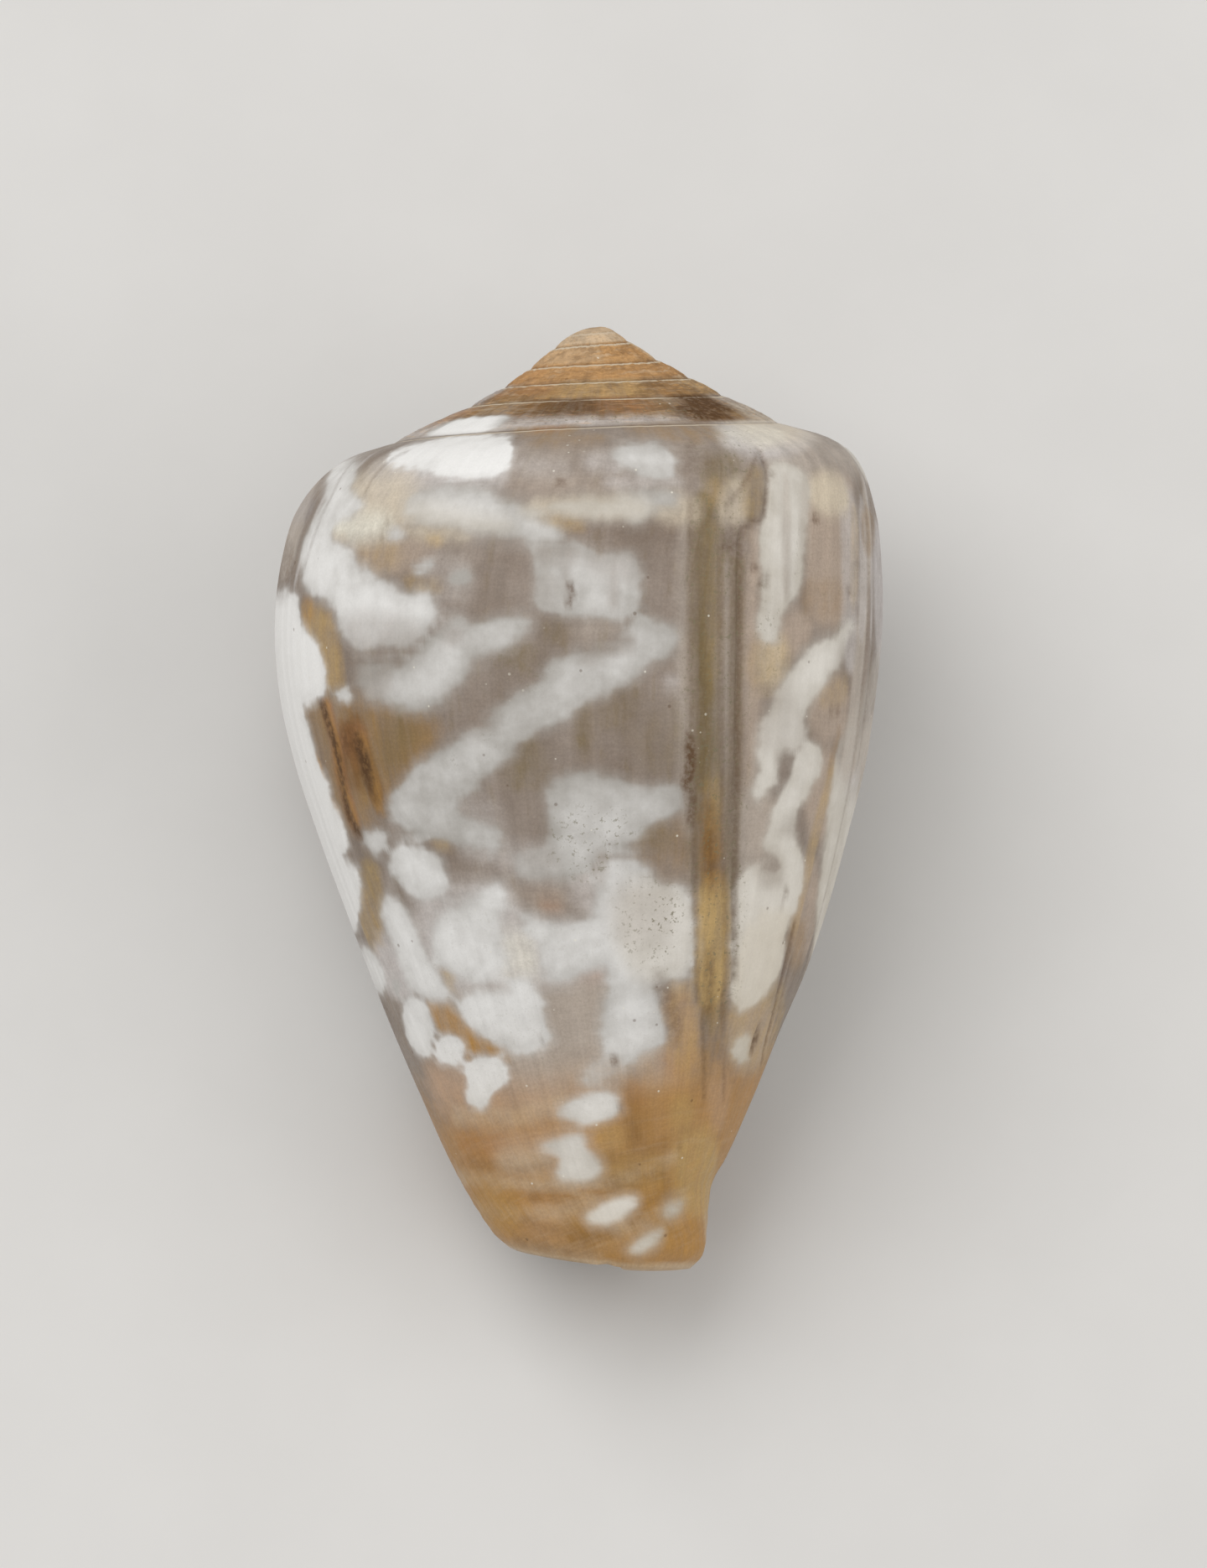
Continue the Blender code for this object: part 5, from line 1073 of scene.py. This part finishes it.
def ledge(phi, height):
    """The step of the healed break, in mm."""
    line = laid_out(LEDGE)
    at = unrolled(phi.ravel(), height.ravel())
    past = at[:, 0] - np.interp(at[:, 1], line[::-1, 1], line[::-1, 0])
    step = eased(past / LEDGE_SOFT + 0.5) * np.exp(-np.clip(past, 0, None) / PROUD_REACH)
    fade = eased((at[:, 1] - LEDGE_FOOT) / LEDGE_FOOT_OVER) * eased((LEDGE_TOP - at[:, 1]) / LEDGE_TOP_OVER)
    return (PROUD * step * fade).reshape(phi.shape)


def columns_of_turns():
    """The turns at which columns stand within one turn, from 0 up to but not including 1."""
    back = np.linspace(BACK_FROM, BACK_TO, BACK_COLUMNS, endpoint=False)
    far_turns = 1 - (BACK_TO - BACK_FROM)
    before = round(FAR_COLUMNS * BACK_FROM / far_turns)
    far = np.concatenate((
        np.linspace(0, BACK_FROM, before, endpoint=False),
        np.linspace(BACK_TO, 1, FAR_COLUMNS - before, endpoint=False),
    ))
    scar = np.linspace(SCAR_FROM, SCAR_TO, SCAR_COLUMNS)
    return np.unique(np.round(np.concatenate((back, far, scar)), 6))


def sheet(bm, points, turns, masks):
    """A flat grid wrapped onto columns of points, with its masks and its growth map."""
    columns, rows = points.shape[0] - 1, points.shape[1] - 1
    down = np.cumsum(np.linalg.norm(np.diff(points, axis=1, prepend=points[:, :1]), axis=2), axis=1)
    layers = {name: bm.verts.layers.float[name] for name in MASKS}
    growth = bm.loops.layers.uv["growth"]
    jumping = {bm.loops.layers.uv[name]: pair for name, pair in JUMPING.items()}
    made = bmesh.ops.create_grid(bm, x_segments=columns, y_segments=rows, size=1.0)
    faces = set()
    spots = {}
    for vert in made["verts"]:
        spot = (round((vert.co.x + 1) / 2 * columns), round((vert.co.y + 1) / 2 * rows))
        spots[vert] = spot
        faces.update(vert.link_faces)
        vert.co = points[spot]
        for name, layer in layers.items():
            vert[layer] = masks[name][spot]
    for face in faces:
        for loop in face.loops:
            column, row = spots[loop.vert]
            loop[growth].uv = (turns[column] * MAP_PER_TURN, down[column, row])
            for layer, pair in jumping.items():
                loop[layer].uv = [masks[name][column, row] for name in pair]


def inside_of(masks, share):
    """The same masks, turned to the plain colour of the inside by a share."""
    return {**masks, "inside": np.broadcast_to(share, masks["inside"].shape), "seam": masks["seam"] * 0}


def cap(bm, loop, bulge, masks, turn):
    """A rounded end that closes a loop of points and stands out by the bulge in its middle. Its masks
    even out towards the middle."""
    ring = np.vstack((loop, loop[:1]))
    middle = loop.mean(axis=0)
    shares = np.array(CAP_SHARES)[None, :, None]
    points = middle + (ring[:, None] - middle) * shares + np.array((0, 0, bulge)) * (1 - shares**2)
    even = {}
    for name, mask in masks.items():
        mean = mask.mean()
        even[name] = mean + (np.append(mask, mask[0])[:, None] - mean) * shares[:, :, 0] ** 2
    sheet(bm, points, np.full(len(ring), turn), even)


def grow():
    """The whole shell, upright, in mm."""
    one_turn = columns_of_turns()
    last_whorl = np.append(one_turn, 1.0)
    spire = np.concatenate([whole + one_turn for whole in range(1, math.ceil(FIRST_TURN))])
    spire = np.append(spire[spire < FIRST_TURN - HAIR], FIRST_TURN)
    mouth = np.append(one_turn[one_turn < MOUTH_DEPTH - HAIR], MOUTH_DEPTH)

    curves = np.array([outline(turn) for turn in last_whorl])
    turns = last_whorl[:, None]
    heights = curves[:, :, 1]
    phi = degrees_round(turns, heights)
    masks, sunk = paint_side(phi, heights)
    shares = np.concatenate((np.arange(RAMP_ROWS) / RAMP_ROWS, np.ones(len(SIDE_ROWS))))[None, :]
    widths = np.array([np.linalg.norm(suture(turn) - suture(turn - 1)) for turn in last_whorl])[:, None]
    on_ramp = np.arange(curves.shape[1]) <= RAMP_ROWS
    relief = ledge(phi, heights) + fine_relief(turns, phi, heights) - sunk
    down = np.arange(curves.shape[1])[None, :] / RAMP_ROWS
    relief *= eased(turns / END_FADE) * eased((1 - turns) / END_FADE) * eased(down)
    out = np.array([normals(curve) for curve in curves])
    curves = curves + out * relief[:, :, None]
    curves[:, :, 1] -= np.where(on_ramp, groove(last_whorl, shares, widths), 0)
    outer = np.array([placed(turn, curve) for turn, curve in zip(last_whorl, curves)])
    chip = CHIP_RISE * bump(outer[:, :, 0] - CHIP_AT, CHIP_HALF) * eased(1 - heights / CHIP_UP)
    outer[:, :, 2] += np.where(outer[:, :, 1] < 0, chip, 0)

    ramp_shares = np.arange(RAMP_ROWS + 1) / RAMP_ROWS
    ramps = np.array([ramp(turn, ramp_shares) for turn in spire])
    ramps[:, -1] = [suture(turn - 1) for turn in spire]
    spire_widths = np.linalg.norm(ramps[:, -1] - ramps[:, 0], axis=1)[:, None]
    sink = groove(spire, ramp_shares[None, :], spire_widths)
    ramps[:, :, 1] += ramp_relief(spire[:, None], ramp_shares[None, :]) - sink
    spire_masks = paint_spire(spire[:, None], np.broadcast_to(ramp_shares, sink.shape), spire_widths)
    per_turn = len(one_turn)
    for name in MASKS:
        spire_masks[name][:per_turn, -1] = masks[name][:per_turn, 0]
        spire_masks[name][per_turn:, -1] = spire_masks[name][:-per_turn, 0]
        spire_masks[name][0] = masks[name][-1, : RAMP_ROWS + 1]
    tops = np.array([placed(turn, curve) for turn, curve in zip(spire, ramps)])
    column = np.array([placed(turn + 1, outline(turn + 1)[PERCH:]) for turn in mouth])
    inner = np.array([placed(turn, hollow(turn)) for turn in mouth])

    bm = bmesh.new()
    for name in MASKS:
        bm.verts.layers.float.new(name)
    for name in ("growth", *JUMPING):
        bm.loops.layers.uv.new(name)
    sheet(bm, outer, last_whorl, masks)
    sheet(bm, tops, spire, spire_masks)
    last = {name: mask[-1, PERCH:] for name, mask in masks.items()}
    column_masks = {name: np.broadcast_to(mask, column.shape[:2]) for name, mask in last.items()}
    sheet(bm, column, mouth + 1, inside_of(column_masks, eased(mouth / INSIDE_OVER)[:, None]))
    sheet(bm, inner, mouth, inside_of(blank(inner.shape[:2]), 1.0))
    lip = np.stack((outer[0], inner[0]))
    lip_masks = {name: np.stack((mask[0], mask[0])) for name, mask in masks.items()}
    sheet(bm, lip, np.zeros(2), inside_of(lip_masks, np.array(EDGE_INSIDE)[:, None]))
    rim = np.stack((outer[: len(mouth), -1], inner[:, -1]), axis=1)
    rim_masks = {name: np.stack([mask[: len(mouth), -1]] * 2, axis=1) for name, mask in masks.items()}
    sheet(bm, rim, mouth, inside_of(rim_masks, np.array(EDGE_INSIDE)))

    closed = len(mouth) - 1
    foot = np.vstack((outer[closed:, -1], column[1:, -1]))
    foot_masks = {name: np.append(mask[closed:, -1], np.full(closed, mask[-1, -1]))
                  for name, mask in masks.items()}
    cap(bm, foot, -FOOT_DOME, foot_masks, 1.0)
    first = len(spire) - 1 - per_turn
    tip = np.vstack((tops[first:, 0], tops[-1, 1:-1]))
    tip_masks = {name: np.append(mask[first:, 0], mask[-1, 1:-1]) for name, mask in spire_masks.items()}
    tip_masks["seam"] = tip_masks["seam"] * 0
    cap(bm, tip, APEX_HEIGHT - tip[:, 2].mean(), tip_masks, FIRST_TURN)

    bmesh.ops.remove_doubles(bm, verts=bm.verts, dist=WELD)
    bmesh.ops.dissolve_degenerate(bm, edges=bm.edges, dist=WELD)
    # The earliest whorl begins between two columns, which leaves a sliver open at the tip.
    bmesh.ops.holes_fill(bm, edges=[e for e in bm.edges if e.is_boundary], sides=0)
    bmesh.ops.recalc_face_normals(bm, faces=bm.faces)
    return bm


def lay_down(bm):
    """Turns the shell onto its mouth side, wears it flat where it touches and centres it. Gives back
    the whole move, from mm upright to metres as it lies."""
    turned = Matrix.Rotation(math.radians(LEAN - 90), 4, "X") @ Matrix.Rotation(
        math.radians(ROLL), 4, "Z"
    )
    bmesh.ops.transform(bm, matrix=turned, verts=bm.verts)
    ground = min(v.co.z for v in bm.verts) + FLAT
    for vert in bm.verts:
        vert.co.z = max(vert.co.z, ground)
    low = [min(v.co[k] for v in bm.verts) for k in range(3)]
    high = [max(v.co[k] for v in bm.verts) for k in range(3)]
    middle = Vector(((low[0] + high[0]) / 2, (low[1] + high[1]) / 2, ground))
    settled = Matrix.Scale(MM, 4) @ Matrix.Translation(-middle)
    bmesh.ops.transform(bm, matrix=settled, verts=bm.verts)
    return settled @ turned


# The finish. Colours are as a screen shows them, from 0 to 255.
COLOURS = {
    "ground": (130, 117, 106), "light ground": (143, 131, 121), "haze": (172, 161, 150),
    "sand": (199, 186, 165), "rose": (170, 153, 138), "tan": (142, 114, 78), "olive": (114, 98, 68),
    "amber": (168, 124, 58), "russet": (158, 108, 68), "gold": (178, 150, 102), "veil": (193, 187, 184),
    "blush": (182, 152, 126), "crumb": (222, 218, 204), "orange": (166, 128, 84),
    "slate": (152, 149, 154), "umber": (84, 58, 32), "brown": (118, 86, 50), "white": (230, 229, 227),
    "thin white": (164, 160, 154), "cream": (206, 194, 172), "dirt": (112, 106, 84),
    "honey": (204, 160, 108), "inside": (218, 210, 200),
}
SPECULAR = 0.15
DULL, DULL_SPIRE = (0.36, 0.48), 0.4  # the roughness, and how much the spire adds to it
BUMP_STRENGTH, BUMP_HEIGHT = 0.35, 0.12 * MM

# The noises: what each lies on, its lumps to a mm, or to a mm each way, its detail and its roughness.
# Growth runs round the shell and down its rows, spun runs round it and across its spiral streaks, and
# place is where a point is.
NOISES = {
    "striae": ("growth", (2.6, 0.09, 1.0), 4.0, 0.6),
    "bands": ("growth", (0.55, 0.04, 1.0), 3.0, 0.55),
    "streaks": ("growth", (1.1, 0.22, 1.0), 3.0, 0.65),
    "threads": ("spun", (0.12, 2.2, 1.0), 3.0, 0.6),
    "ribbons": ("spun", (0.05, 1.1, 1.0), 3.0, 0.6),
    "weave": ("spun", (0.5, 5.0, 1.0), 2.0, 0.5),
    "mottle": ("place", 0.28, 3.0, 0.55),
    "patches": ("place", 0.9, 3.0, 0.6),
    "grain": ("place", 3.0, 3.0, 0.6),
    "specks": ("place", 3.6, 3.0, 0.7),
    "fine": ("place", 7.0, 2.0, 0.6),
    # These three make the edges of the clouds wander.
    "lobes": ("place", 0.75, 2.5, 0.55),
    "steps": ("place", (0.25, 1.40, 0.25), 1.0, 0.55),
    "notches": ("place", (1.40, 0.25, 1.40), 1.0, 0.55),
    # These two make the suture wander, and break its thread.
    "wander": ("growth", (0.35, 0.0, 0.0), 2.0, 0.6),
    "breaks": ("growth", (0.22, 0.0, 0.0), 3.0, 0.7),
}

# What is washed over the stains: the noise it follows, the values of it between which it sets in, where
# it lies, its strength and its colour.
WASHES = (
    ("threads", 0.50, 0.72, "streaked", 0.22, "sand"),
    ("ribbons", 0.52, 0.34, "streaked", 0.12, "umber"),
    ("patches", 0.52, 0.36, "worn spire", 0.25, "umber"),
    ("weave", 0.52, 0.36, "spire", 0.20, "brown"),
    ("weave", 0.54, 0.70, "spire", 0.35, "honey"),
)
# How much darker and lighter each noise makes the ground and stains, and then the whites.
SHADES = (
    ("striae", 0.95, 1.05), ("fine", 0.93, 1.07), ("weave", 0.975, 1.025), ("bands", 0.96, 1.04),
    ("patches", 0.96, 1.04),
)
WHITE_SHADES = (("striae", 0.98, 1.015), ("fine", 0.97, 1.02))
TINGE = 0.35  # how much olive the ground has in places
FRAY = 2.3  # how much the patches fray a stain where it is thin
HALO, CORE = (-1.5, 0.4, 0.35), (-0.5, 0.7, 0.63)  # from and to, in blurs of a cloud's edge, and strength
WHITE_FROM = 0.25  # the milk at which a cloud is there in full
CREAM = 0.6
# Each is strewn about as round dots: how many to a mm, how wide, and which share is left out.
CRUMB_DOTS, DUST_DOTS, PIT_DOTS = (2.0, 0.22, 0.60), (0.85, 0.075, 0.62), (0.55, 0.075, 0.55)
THREAD_AT = 0.20  # mm below the suture
# The suture's dark line is partly painted shade in its groove.
THREAD_LAID, SUTURE_SHADE_LAID, DIRT_LAID, DUST_LAID, PITS_LAID = 0.85, 0.60, 0.75, 0.65, 0.45  # how strongly
# How far each stands out, in shares of the bump's height.
STANDS_OUT = {
    "striae": 0.4, "bands": 0.3, "threads": 0.5, "grain": 0.2, "pits": -0.6, "crumbs": 0.5,
    "suture": 0.5, "worn spire": 2.2,
}


def linear(name):
    """One of the colours as light, for a shader's socket."""
    parts = [part / 255 for part in COLOURS[name]]
    return [p / 12.92 if p <= 0.04045 else ((p + 0.055) / 1.055) ** 2.4 for p in parts] + [1]


class Finish:
    """A material's nodes, with short ways to add and join them."""

    def __init__(self, name):
        self.material = bpy.data.materials.new(name)
        self.material.use_nodes = True
        self.tree = self.material.node_tree
        self.shader = self.tree.nodes["Principled BSDF"]

    def add(self, kind, values=None, output=0, **settings):
        """Adds a node, sets what it is given, joins sockets to it and gives back one of its outputs."""
        node = self.tree.nodes.new(kind)
        for name, setting in settings.items():
            setattr(node, name, setting)
        for key, value in (values or {}).items():
            self.join(value, node.inputs[key])
        return node.outputs[output]

    def join(self, value, socket):
        if isinstance(value, bpy.types.NodeSocket):
            self.tree.links.new(value, socket)
        else:
            socket.default_value = value

    def sum(self, operation, *values, **settings):
        return self.add("ShaderNodeMath", dict(enumerate(values)), operation=operation, **settings)

    def plus(self, first, second):
        return self.sum("ADD", first, second)

    def less(self, first, second):
        return self.sum("SUBTRACT", first, second)

    def times(self, first, second):
        return self.sum("MULTIPLY", first, second)

    def plus_times(self, value, factor, added):
        return self.sum("MULTIPLY_ADD", value, factor, added)

    def greater(self, first, second):
        return self.sum("MAXIMUM", first, second)

    def parts(self, vector, count):
        """The first few numbers of a vector."""
        return [self.add("ShaderNodeSeparateXYZ", {"Vector": vector}, k) for k in range(count)]

    def stretch(self, vector, scale):
        return self.add("ShaderNodeMapping", {"Vector": vector, "Scale": scale})

    def noise(self, vector, scale, detail, roughness):
        """Noise of so many lumps to a unit, or to a unit each way."""
        if isinstance(scale, tuple):
            vector, scale = self.stretch(vector, scale), 1.0
        return self.add(
            "ShaderNodeTexNoise",
            {"Vector": vector, "Scale": scale, "Detail": detail, "Roughness": roughness},
        )

    def ranged(self, value, low, high, first=0.0, last=1.0):
        """Goes smoothly from the first to the last as the value goes from low to high."""
        return self.add(
            "ShaderNodeMapRange",
            {"Value": value, "From Min": low, "From Max": high, "To Min": first, "To Max": last},
            interpolation_type="SMOOTHSTEP",
        )

    def dots(self, vector, per_mm, size, picked):
        """Small round dots strewn about."""
        node = self.tree.nodes.new("ShaderNodeTexVoronoi")
        self.join(vector, node.inputs["Vector"])
        self.join(per_mm, node.inputs["Scale"])
        near = self.ranged(node.outputs["Distance"], size * 0.5, size, 1.0, 0.0)
        return self.times(near, self.sum("GREATER_THAN", node.outputs["Color"], picked))

    def over(self, share, under, colour):
        """A colour laid over another by a share."""
        node = self.tree.nodes.new("ShaderNodeMix")
        node.data_type = "RGBA"
        self.join(share, node.inputs["Factor"])
        sockets = [s for s in node.inputs if s.type == "RGBA"]
        self.join(under, sockets[0])
        self.join(colour, sockets[1])
        return next(s for s in node.outputs if s.type == "RGBA")

    def wash(self, share, strength, under, name):
        """One of the named colours laid over another by a share, at some strength."""
        return self.over(self.times(share, strength), under, linear(name))

    def shaded(self, colour, low, high, share):
        """A colour made darker or lighter as a share goes from 0 to 1."""
        factor = self.ranged(share, 0.25, 0.75, low, high)
        return self.add("ShaderNodeVectorMath", {0: colour, 1: factor}, operation="MULTIPLY")


def stained_ground(f, noises, mask):
    """The ground's two tones with a tinge of olive, and every pigment but the last over it."""
    bands, mottle, patches, streaks = (noises[name] for name in ("bands", "mottle", "patches", "streaks"))
    light = f.ranged(f.plus(f.times(mottle, 0.6), f.times(bands, 0.4)), 0.38, 0.64)
    colour = f.over(light, linear("ground"), linear("light ground"))
    uneven = f.ranged(f.plus(bands, mottle), 0.7, 1.3, 0.92, 1.06)
    blotted = f.times(uneven, f.ranged(streaks, 0.35, 0.65, 0.70, 1.15))
    tinge = f.times(f.ranged(streaks, 0.50, 0.70), f.ranged(patches, 0.35, 0.60))
    colour = f.wash(tinge, TINGE, colour, "olive")
    for name in PIGMENTS[:-1]:
        frayed = f.times(f.less(1.0, mask[name]), f.less(patches, 0.5))
        share = f.plus_times(frayed, FRAY, blotted if name in BLOTTED else uneven)
        share = f.sum("MULTIPLY", mask[name], share, use_clamp=True)
        colour = f.over(share, colour, linear(name))
    return colour


def clouded(f, noises, mask, colour):
    """The white clouds, with edges that wander, worn thin and creamy in places."""
    edge = f.plus(f.times(noises["steps"], 0.35), f.times(noises["notches"], 0.25))
    edge = f.plus(edge, f.times(noises["lobes"], 0.60))
    edge = f.times(f.less(edge, 0.60), f.ranged(mask["spiral"], 0.0, 0.4, 1.2, 0.5))
    edge = f.plus(mask["cloud"], edge)
    halo, core = (
        f.times(f.ranged(edge, f.times(mask["blur"], low), f.times(mask["blur"], high)), strength)
        for low, high, strength in (HALO, CORE)
    )
    worn = f.times(mask["thin"], f.ranged(noises["patches"], 0.35, 0.65, 0.85, 1.1))
    white = f.times(f.plus(halo, core), f.less(1.0, worn))
    milk = f.plus(mask["milk"], f.ranged(noises["mottle"], 0.35, 0.65, -0.10, 0.10))
    milk = f.plus(milk, f.ranged(noises["patches"], 0.35, 0.65, -0.04, 0.04))
    milk = f.plus(milk, f.ranged(edge, 0.0, 1.2, -0.16, 0.03))
    tone = f.over(f.ranged(milk, 0.0, 1.0), linear("thin white"), linear("white"))
    tone = f.wash(mask["cream"], CREAM, tone, "cream")
    for name, low, high in WHITE_SHADES:
        tone = f.shaded(tone, low, high, noises[name])
    return f.over(f.times(white, f.ranged(mask["milk"], 0.0, WHITE_FROM)), colour, tone)


def seamed(f, noises, below, above, seam, colour):
    """The suture: a pale thread below it, and at it a dark line that is partly painted shade in its groove.
    Gives back the thread as well.
    """
    below = f.plus(below, f.ranged(noises["wander"], 0.3, 0.7, -0.06, 0.06))
    off_thread = f.sum("ABSOLUTE", f.less(below, THREAD_AT))
    thread = f.times(f.ranged(off_thread, 0.05, 0.15, 1.0, 0.0), f.ranged(noises["breaks"], 0.28, 0.46))
    thread = f.times(thread, seam)
    colour = f.wash(thread, THREAD_LAID, colour, "sand")
    # Painted shade: the dark line along the suture stands partly for the shade in its groove.
    line_and_shade = f.greater(f.ranged(below, 0.05, 0.16, 1.0, 0.0), f.ranged(above, 0.0, 0.14, 1.0, 0.0))
    line_and_shade = f.times(f.times(line_and_shade, f.ranged(noises["breaks"], 0.60, 0.35, 0.35, 1.0)), seam)
    return f.wash(line_and_shade, SUTURE_SHADE_LAID, colour, "umber"), thread


def marbled_shell():
    """Worn, satin shell: mauve ground, stains, white clouds, dirt in its pores."""
    f = Finish("marbled_shell")
    growth, crossing, inner = (
        f.add("ShaderNodeUVMap", uv_map=name) for name in ("growth", *JUMPING)
    )
    turned, below = f.parts(growth, 2)
    across, above = f.parts(crossing, 2)
    inside, seam = f.parts(inner, 2)
    lies_on = {
        "growth": growth,
        "spun": f.add("ShaderNodeCombineXYZ", {"X": turned, "Y": across}),
        "place": f.stretch(f.add("ShaderNodeTexCoord", output=3), (1 / MM, 1 / MM, 1 / MM)),
    }
    noises = {name: f.noise(lies_on[base], *kind) for name, (base, *kind) in NOISES.items()}
    mask = {name: f.add("ShaderNodeAttribute", output=2, attribute_name=name) for name in MASKS}
    patches, grain = noises["patches"], noises["grain"]
    where = {
        "streaked": mask["spiral"],
        "spire": f.ranged(mask["spiral"], 0.5, 1.0),
        "worn spire": f.ranged(mask["spiral"], 0.8, 1.5),
    }

    colour = stained_ground(f, noises, mask)
    for noise, low, high, part, strength, name in WASHES:
        colour = f.wash(f.times(f.ranged(noises[noise], low, high), where[part]), strength, colour, name)
    for noise, low, high in SHADES:
        colour = f.shaded(colour, low, high, noises[noise])
    colour = clouded(f, noises, mask, colour)
    colour, thread = seamed(f, noises, below, above, seam, colour)

    lines = f.times(mask["umber"], f.ranged(grain, 0.35, 0.60, 0.60, 1.12))
    colour = f.over(lines, colour, linear("umber"))
    specks = f.times(f.ranged(noises["specks"], 0.56, 0.65), f.ranged(patches, 0.38, 0.54))
    colour = f.wash(f.times(specks, mask["dirt"]), DIRT_LAID, colour, "dirt")
    colour = f.over(inside, colour, linear("inside"))
    crumbs = f.times(f.dots(lies_on["place"], *CRUMB_DOTS), mask["crumbs"])
    dust = f.greater(f.dots(lies_on["place"], *DUST_DOTS), crumbs)
    colour = f.wash(dust, DUST_LAID, colour, "crumb")
    pits = f.dots(lies_on["place"], *PIT_DOTS)
    colour = f.wash(pits, PITS_LAID, colour, "umber")
    f.join(colour, f.shader.inputs["Base Color"])

    dull = f.plus(f.ranged(grain, 0.3, 0.7, *DULL), f.times(where["spire"], DULL_SPIRE))
    f.join(dull, f.shader.inputs["Roughness"])
    f.shader.inputs["Specular IOR Level"].default_value = SPECULAR

    height = f.plus(*(f.times(noises[name], STANDS_OUT[name]) for name in ("striae", "bands")))
    height = f.times(height, f.ranged(mask["spiral"], 0.0, 0.4, 1.0, 0.4))
    raised = {
        "threads": f.times(noises["threads"], mask["spiral"]), "grain": grain, "pits": pits,
        "crumbs": crumbs, "suture": thread, "worn spire": f.times(where["worn spire"], patches),
    }
    for name, part in raised.items():
        height = f.plus_times(part, STANDS_OUT[name], height)
    bumps = {"Strength": BUMP_STRENGTH, "Distance": BUMP_HEIGHT, "Height": height}
    f.join(f.add("ShaderNodeBump", bumps), f.shader.inputs["Normal"])
    return f.material


def make_shell():
    bm = grow()
    move = lay_down(bm)
    mesh = bpy.data.meshes.new("marbled_shell")
    bm.to_mesh(mesh)
    bm.free()
    mesh.shade_smooth()
    mesh.set_sharp_from_angle(angle=math.radians(SHARP))
    mesh.materials.append(marbled_shell())
    shell = bpy.data.objects.new("marbled_shell", mesh)
    bpy.context.scene.collection.objects.link(shell)
    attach(shell, "root")
    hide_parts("shell")
    return move


# The floor, the light and the camera. Lengths in metres.
FLOOR_SIZE = 6.0
FLOOR_COLOUR = (0.62, 0.61, 0.595, 1)
FLOOR_GRAIN = (0.60, 0.59, 0.575, 1)
FLOOR_NOISE = (60.0, 4.0, 0.55)  # lumps to a metre, detail and roughness
FLOOR_ROUGHNESS = 0.7
SKY_COLOUR = (1.0, 0.99, 0.97, 1)
SKY_STRENGTH = 0.62
LAMPS = {
    # where it stands, how wide it is, its power in watts
    "soft light from the upper left": ((-0.42, 0.34, 0.90), 0.90, 6.0),
    "fill from the right": ((0.75, -0.10, 0.60), 0.80, 2.6),
}
LENS = 500.0  # mm
SENSOR = 36.0  # mm, the long side
PHOTO_HIGH, PHOTO_PER_MM = 1870, 20.4  # px, and px in a mm of the shell
PHOTO_MIDDLE = (0.15, 28.3)  # mm: what stands at the photo's middle, right of the axis and up it


def make_floor():
    bm = bmesh.new()
    bmesh.ops.create_grid(bm, x_segments=1, y_segments=1, size=FLOOR_SIZE / 2)
    mesh = bpy.data.meshes.new("floor")
    bm.to_mesh(mesh)
    bm.free()
    f = Finish("pale_floor")
    grain = f.noise(f.add("ShaderNodeTexCoord", output=3), *FLOOR_NOISE)
    f.join(f.over(f.ranged(grain, 0.3, 0.7), FLOOR_COLOUR, FLOOR_GRAIN), f.shader.inputs["Base Color"])
    f.shader.inputs["Roughness"].default_value = FLOOR_ROUGHNESS
    mesh.materials.append(f.material)
    floor = bpy.data.objects.new("floor", mesh)
    bpy.context.scene.collection.objects.link(floor)


def make_light():
    world = bpy.data.worlds.new("soft sky")
    world.use_nodes = True
    world.node_tree.nodes["Background"].inputs["Color"].default_value = SKY_COLOUR
    world.node_tree.nodes["Background"].inputs["Strength"].default_value = SKY_STRENGTH
    bpy.context.scene.world = world
    for name, (place, width, power) in LAMPS.items():
        light = bpy.data.lights.new(name, "AREA")
        light.shape = "SQUARE"
        light.size = width
        light.energy = power
        lamp = bpy.data.objects.new(name, light)
        lamp.location = place
        lamp.rotation_euler = (-Vector(place)).to_track_quat("-Z", "Y").to_euler()
        bpy.context.scene.collection.objects.link(lamp)


def make_camera(move):
    """Looks at the back square to the shell's axis, with the apex at the top of the picture."""
    data = bpy.data.cameras.new("camera")
    data.lens = LENS
    data.sensor_width = SENSOR
    camera = bpy.data.objects.new("camera", data)
    distance = LENS / SENSOR * PHOTO_HIGH / PHOTO_PER_MM
    x, height = PHOTO_MIDDLE
    right, up, back = (move.to_3x3() @ Vector(way) for way in ((1, 0, 0), (0, 0, 1), (0, -1, 0)))
    turned = Matrix((right.normalized(), up.normalized(), back.normalized())).transposed()
    camera.matrix_world = Matrix.Translation(move @ Vector((x, -distance, height))) @ turned.to_4x4()
    data.clip_end = 10.0
    bpy.context.scene.collection.objects.link(camera)
    bpy.context.scene.camera = camera


make_floor()
make_light()
make_camera(make_shell())
bpy.context.scene.view_settings.view_transform = "Standard"
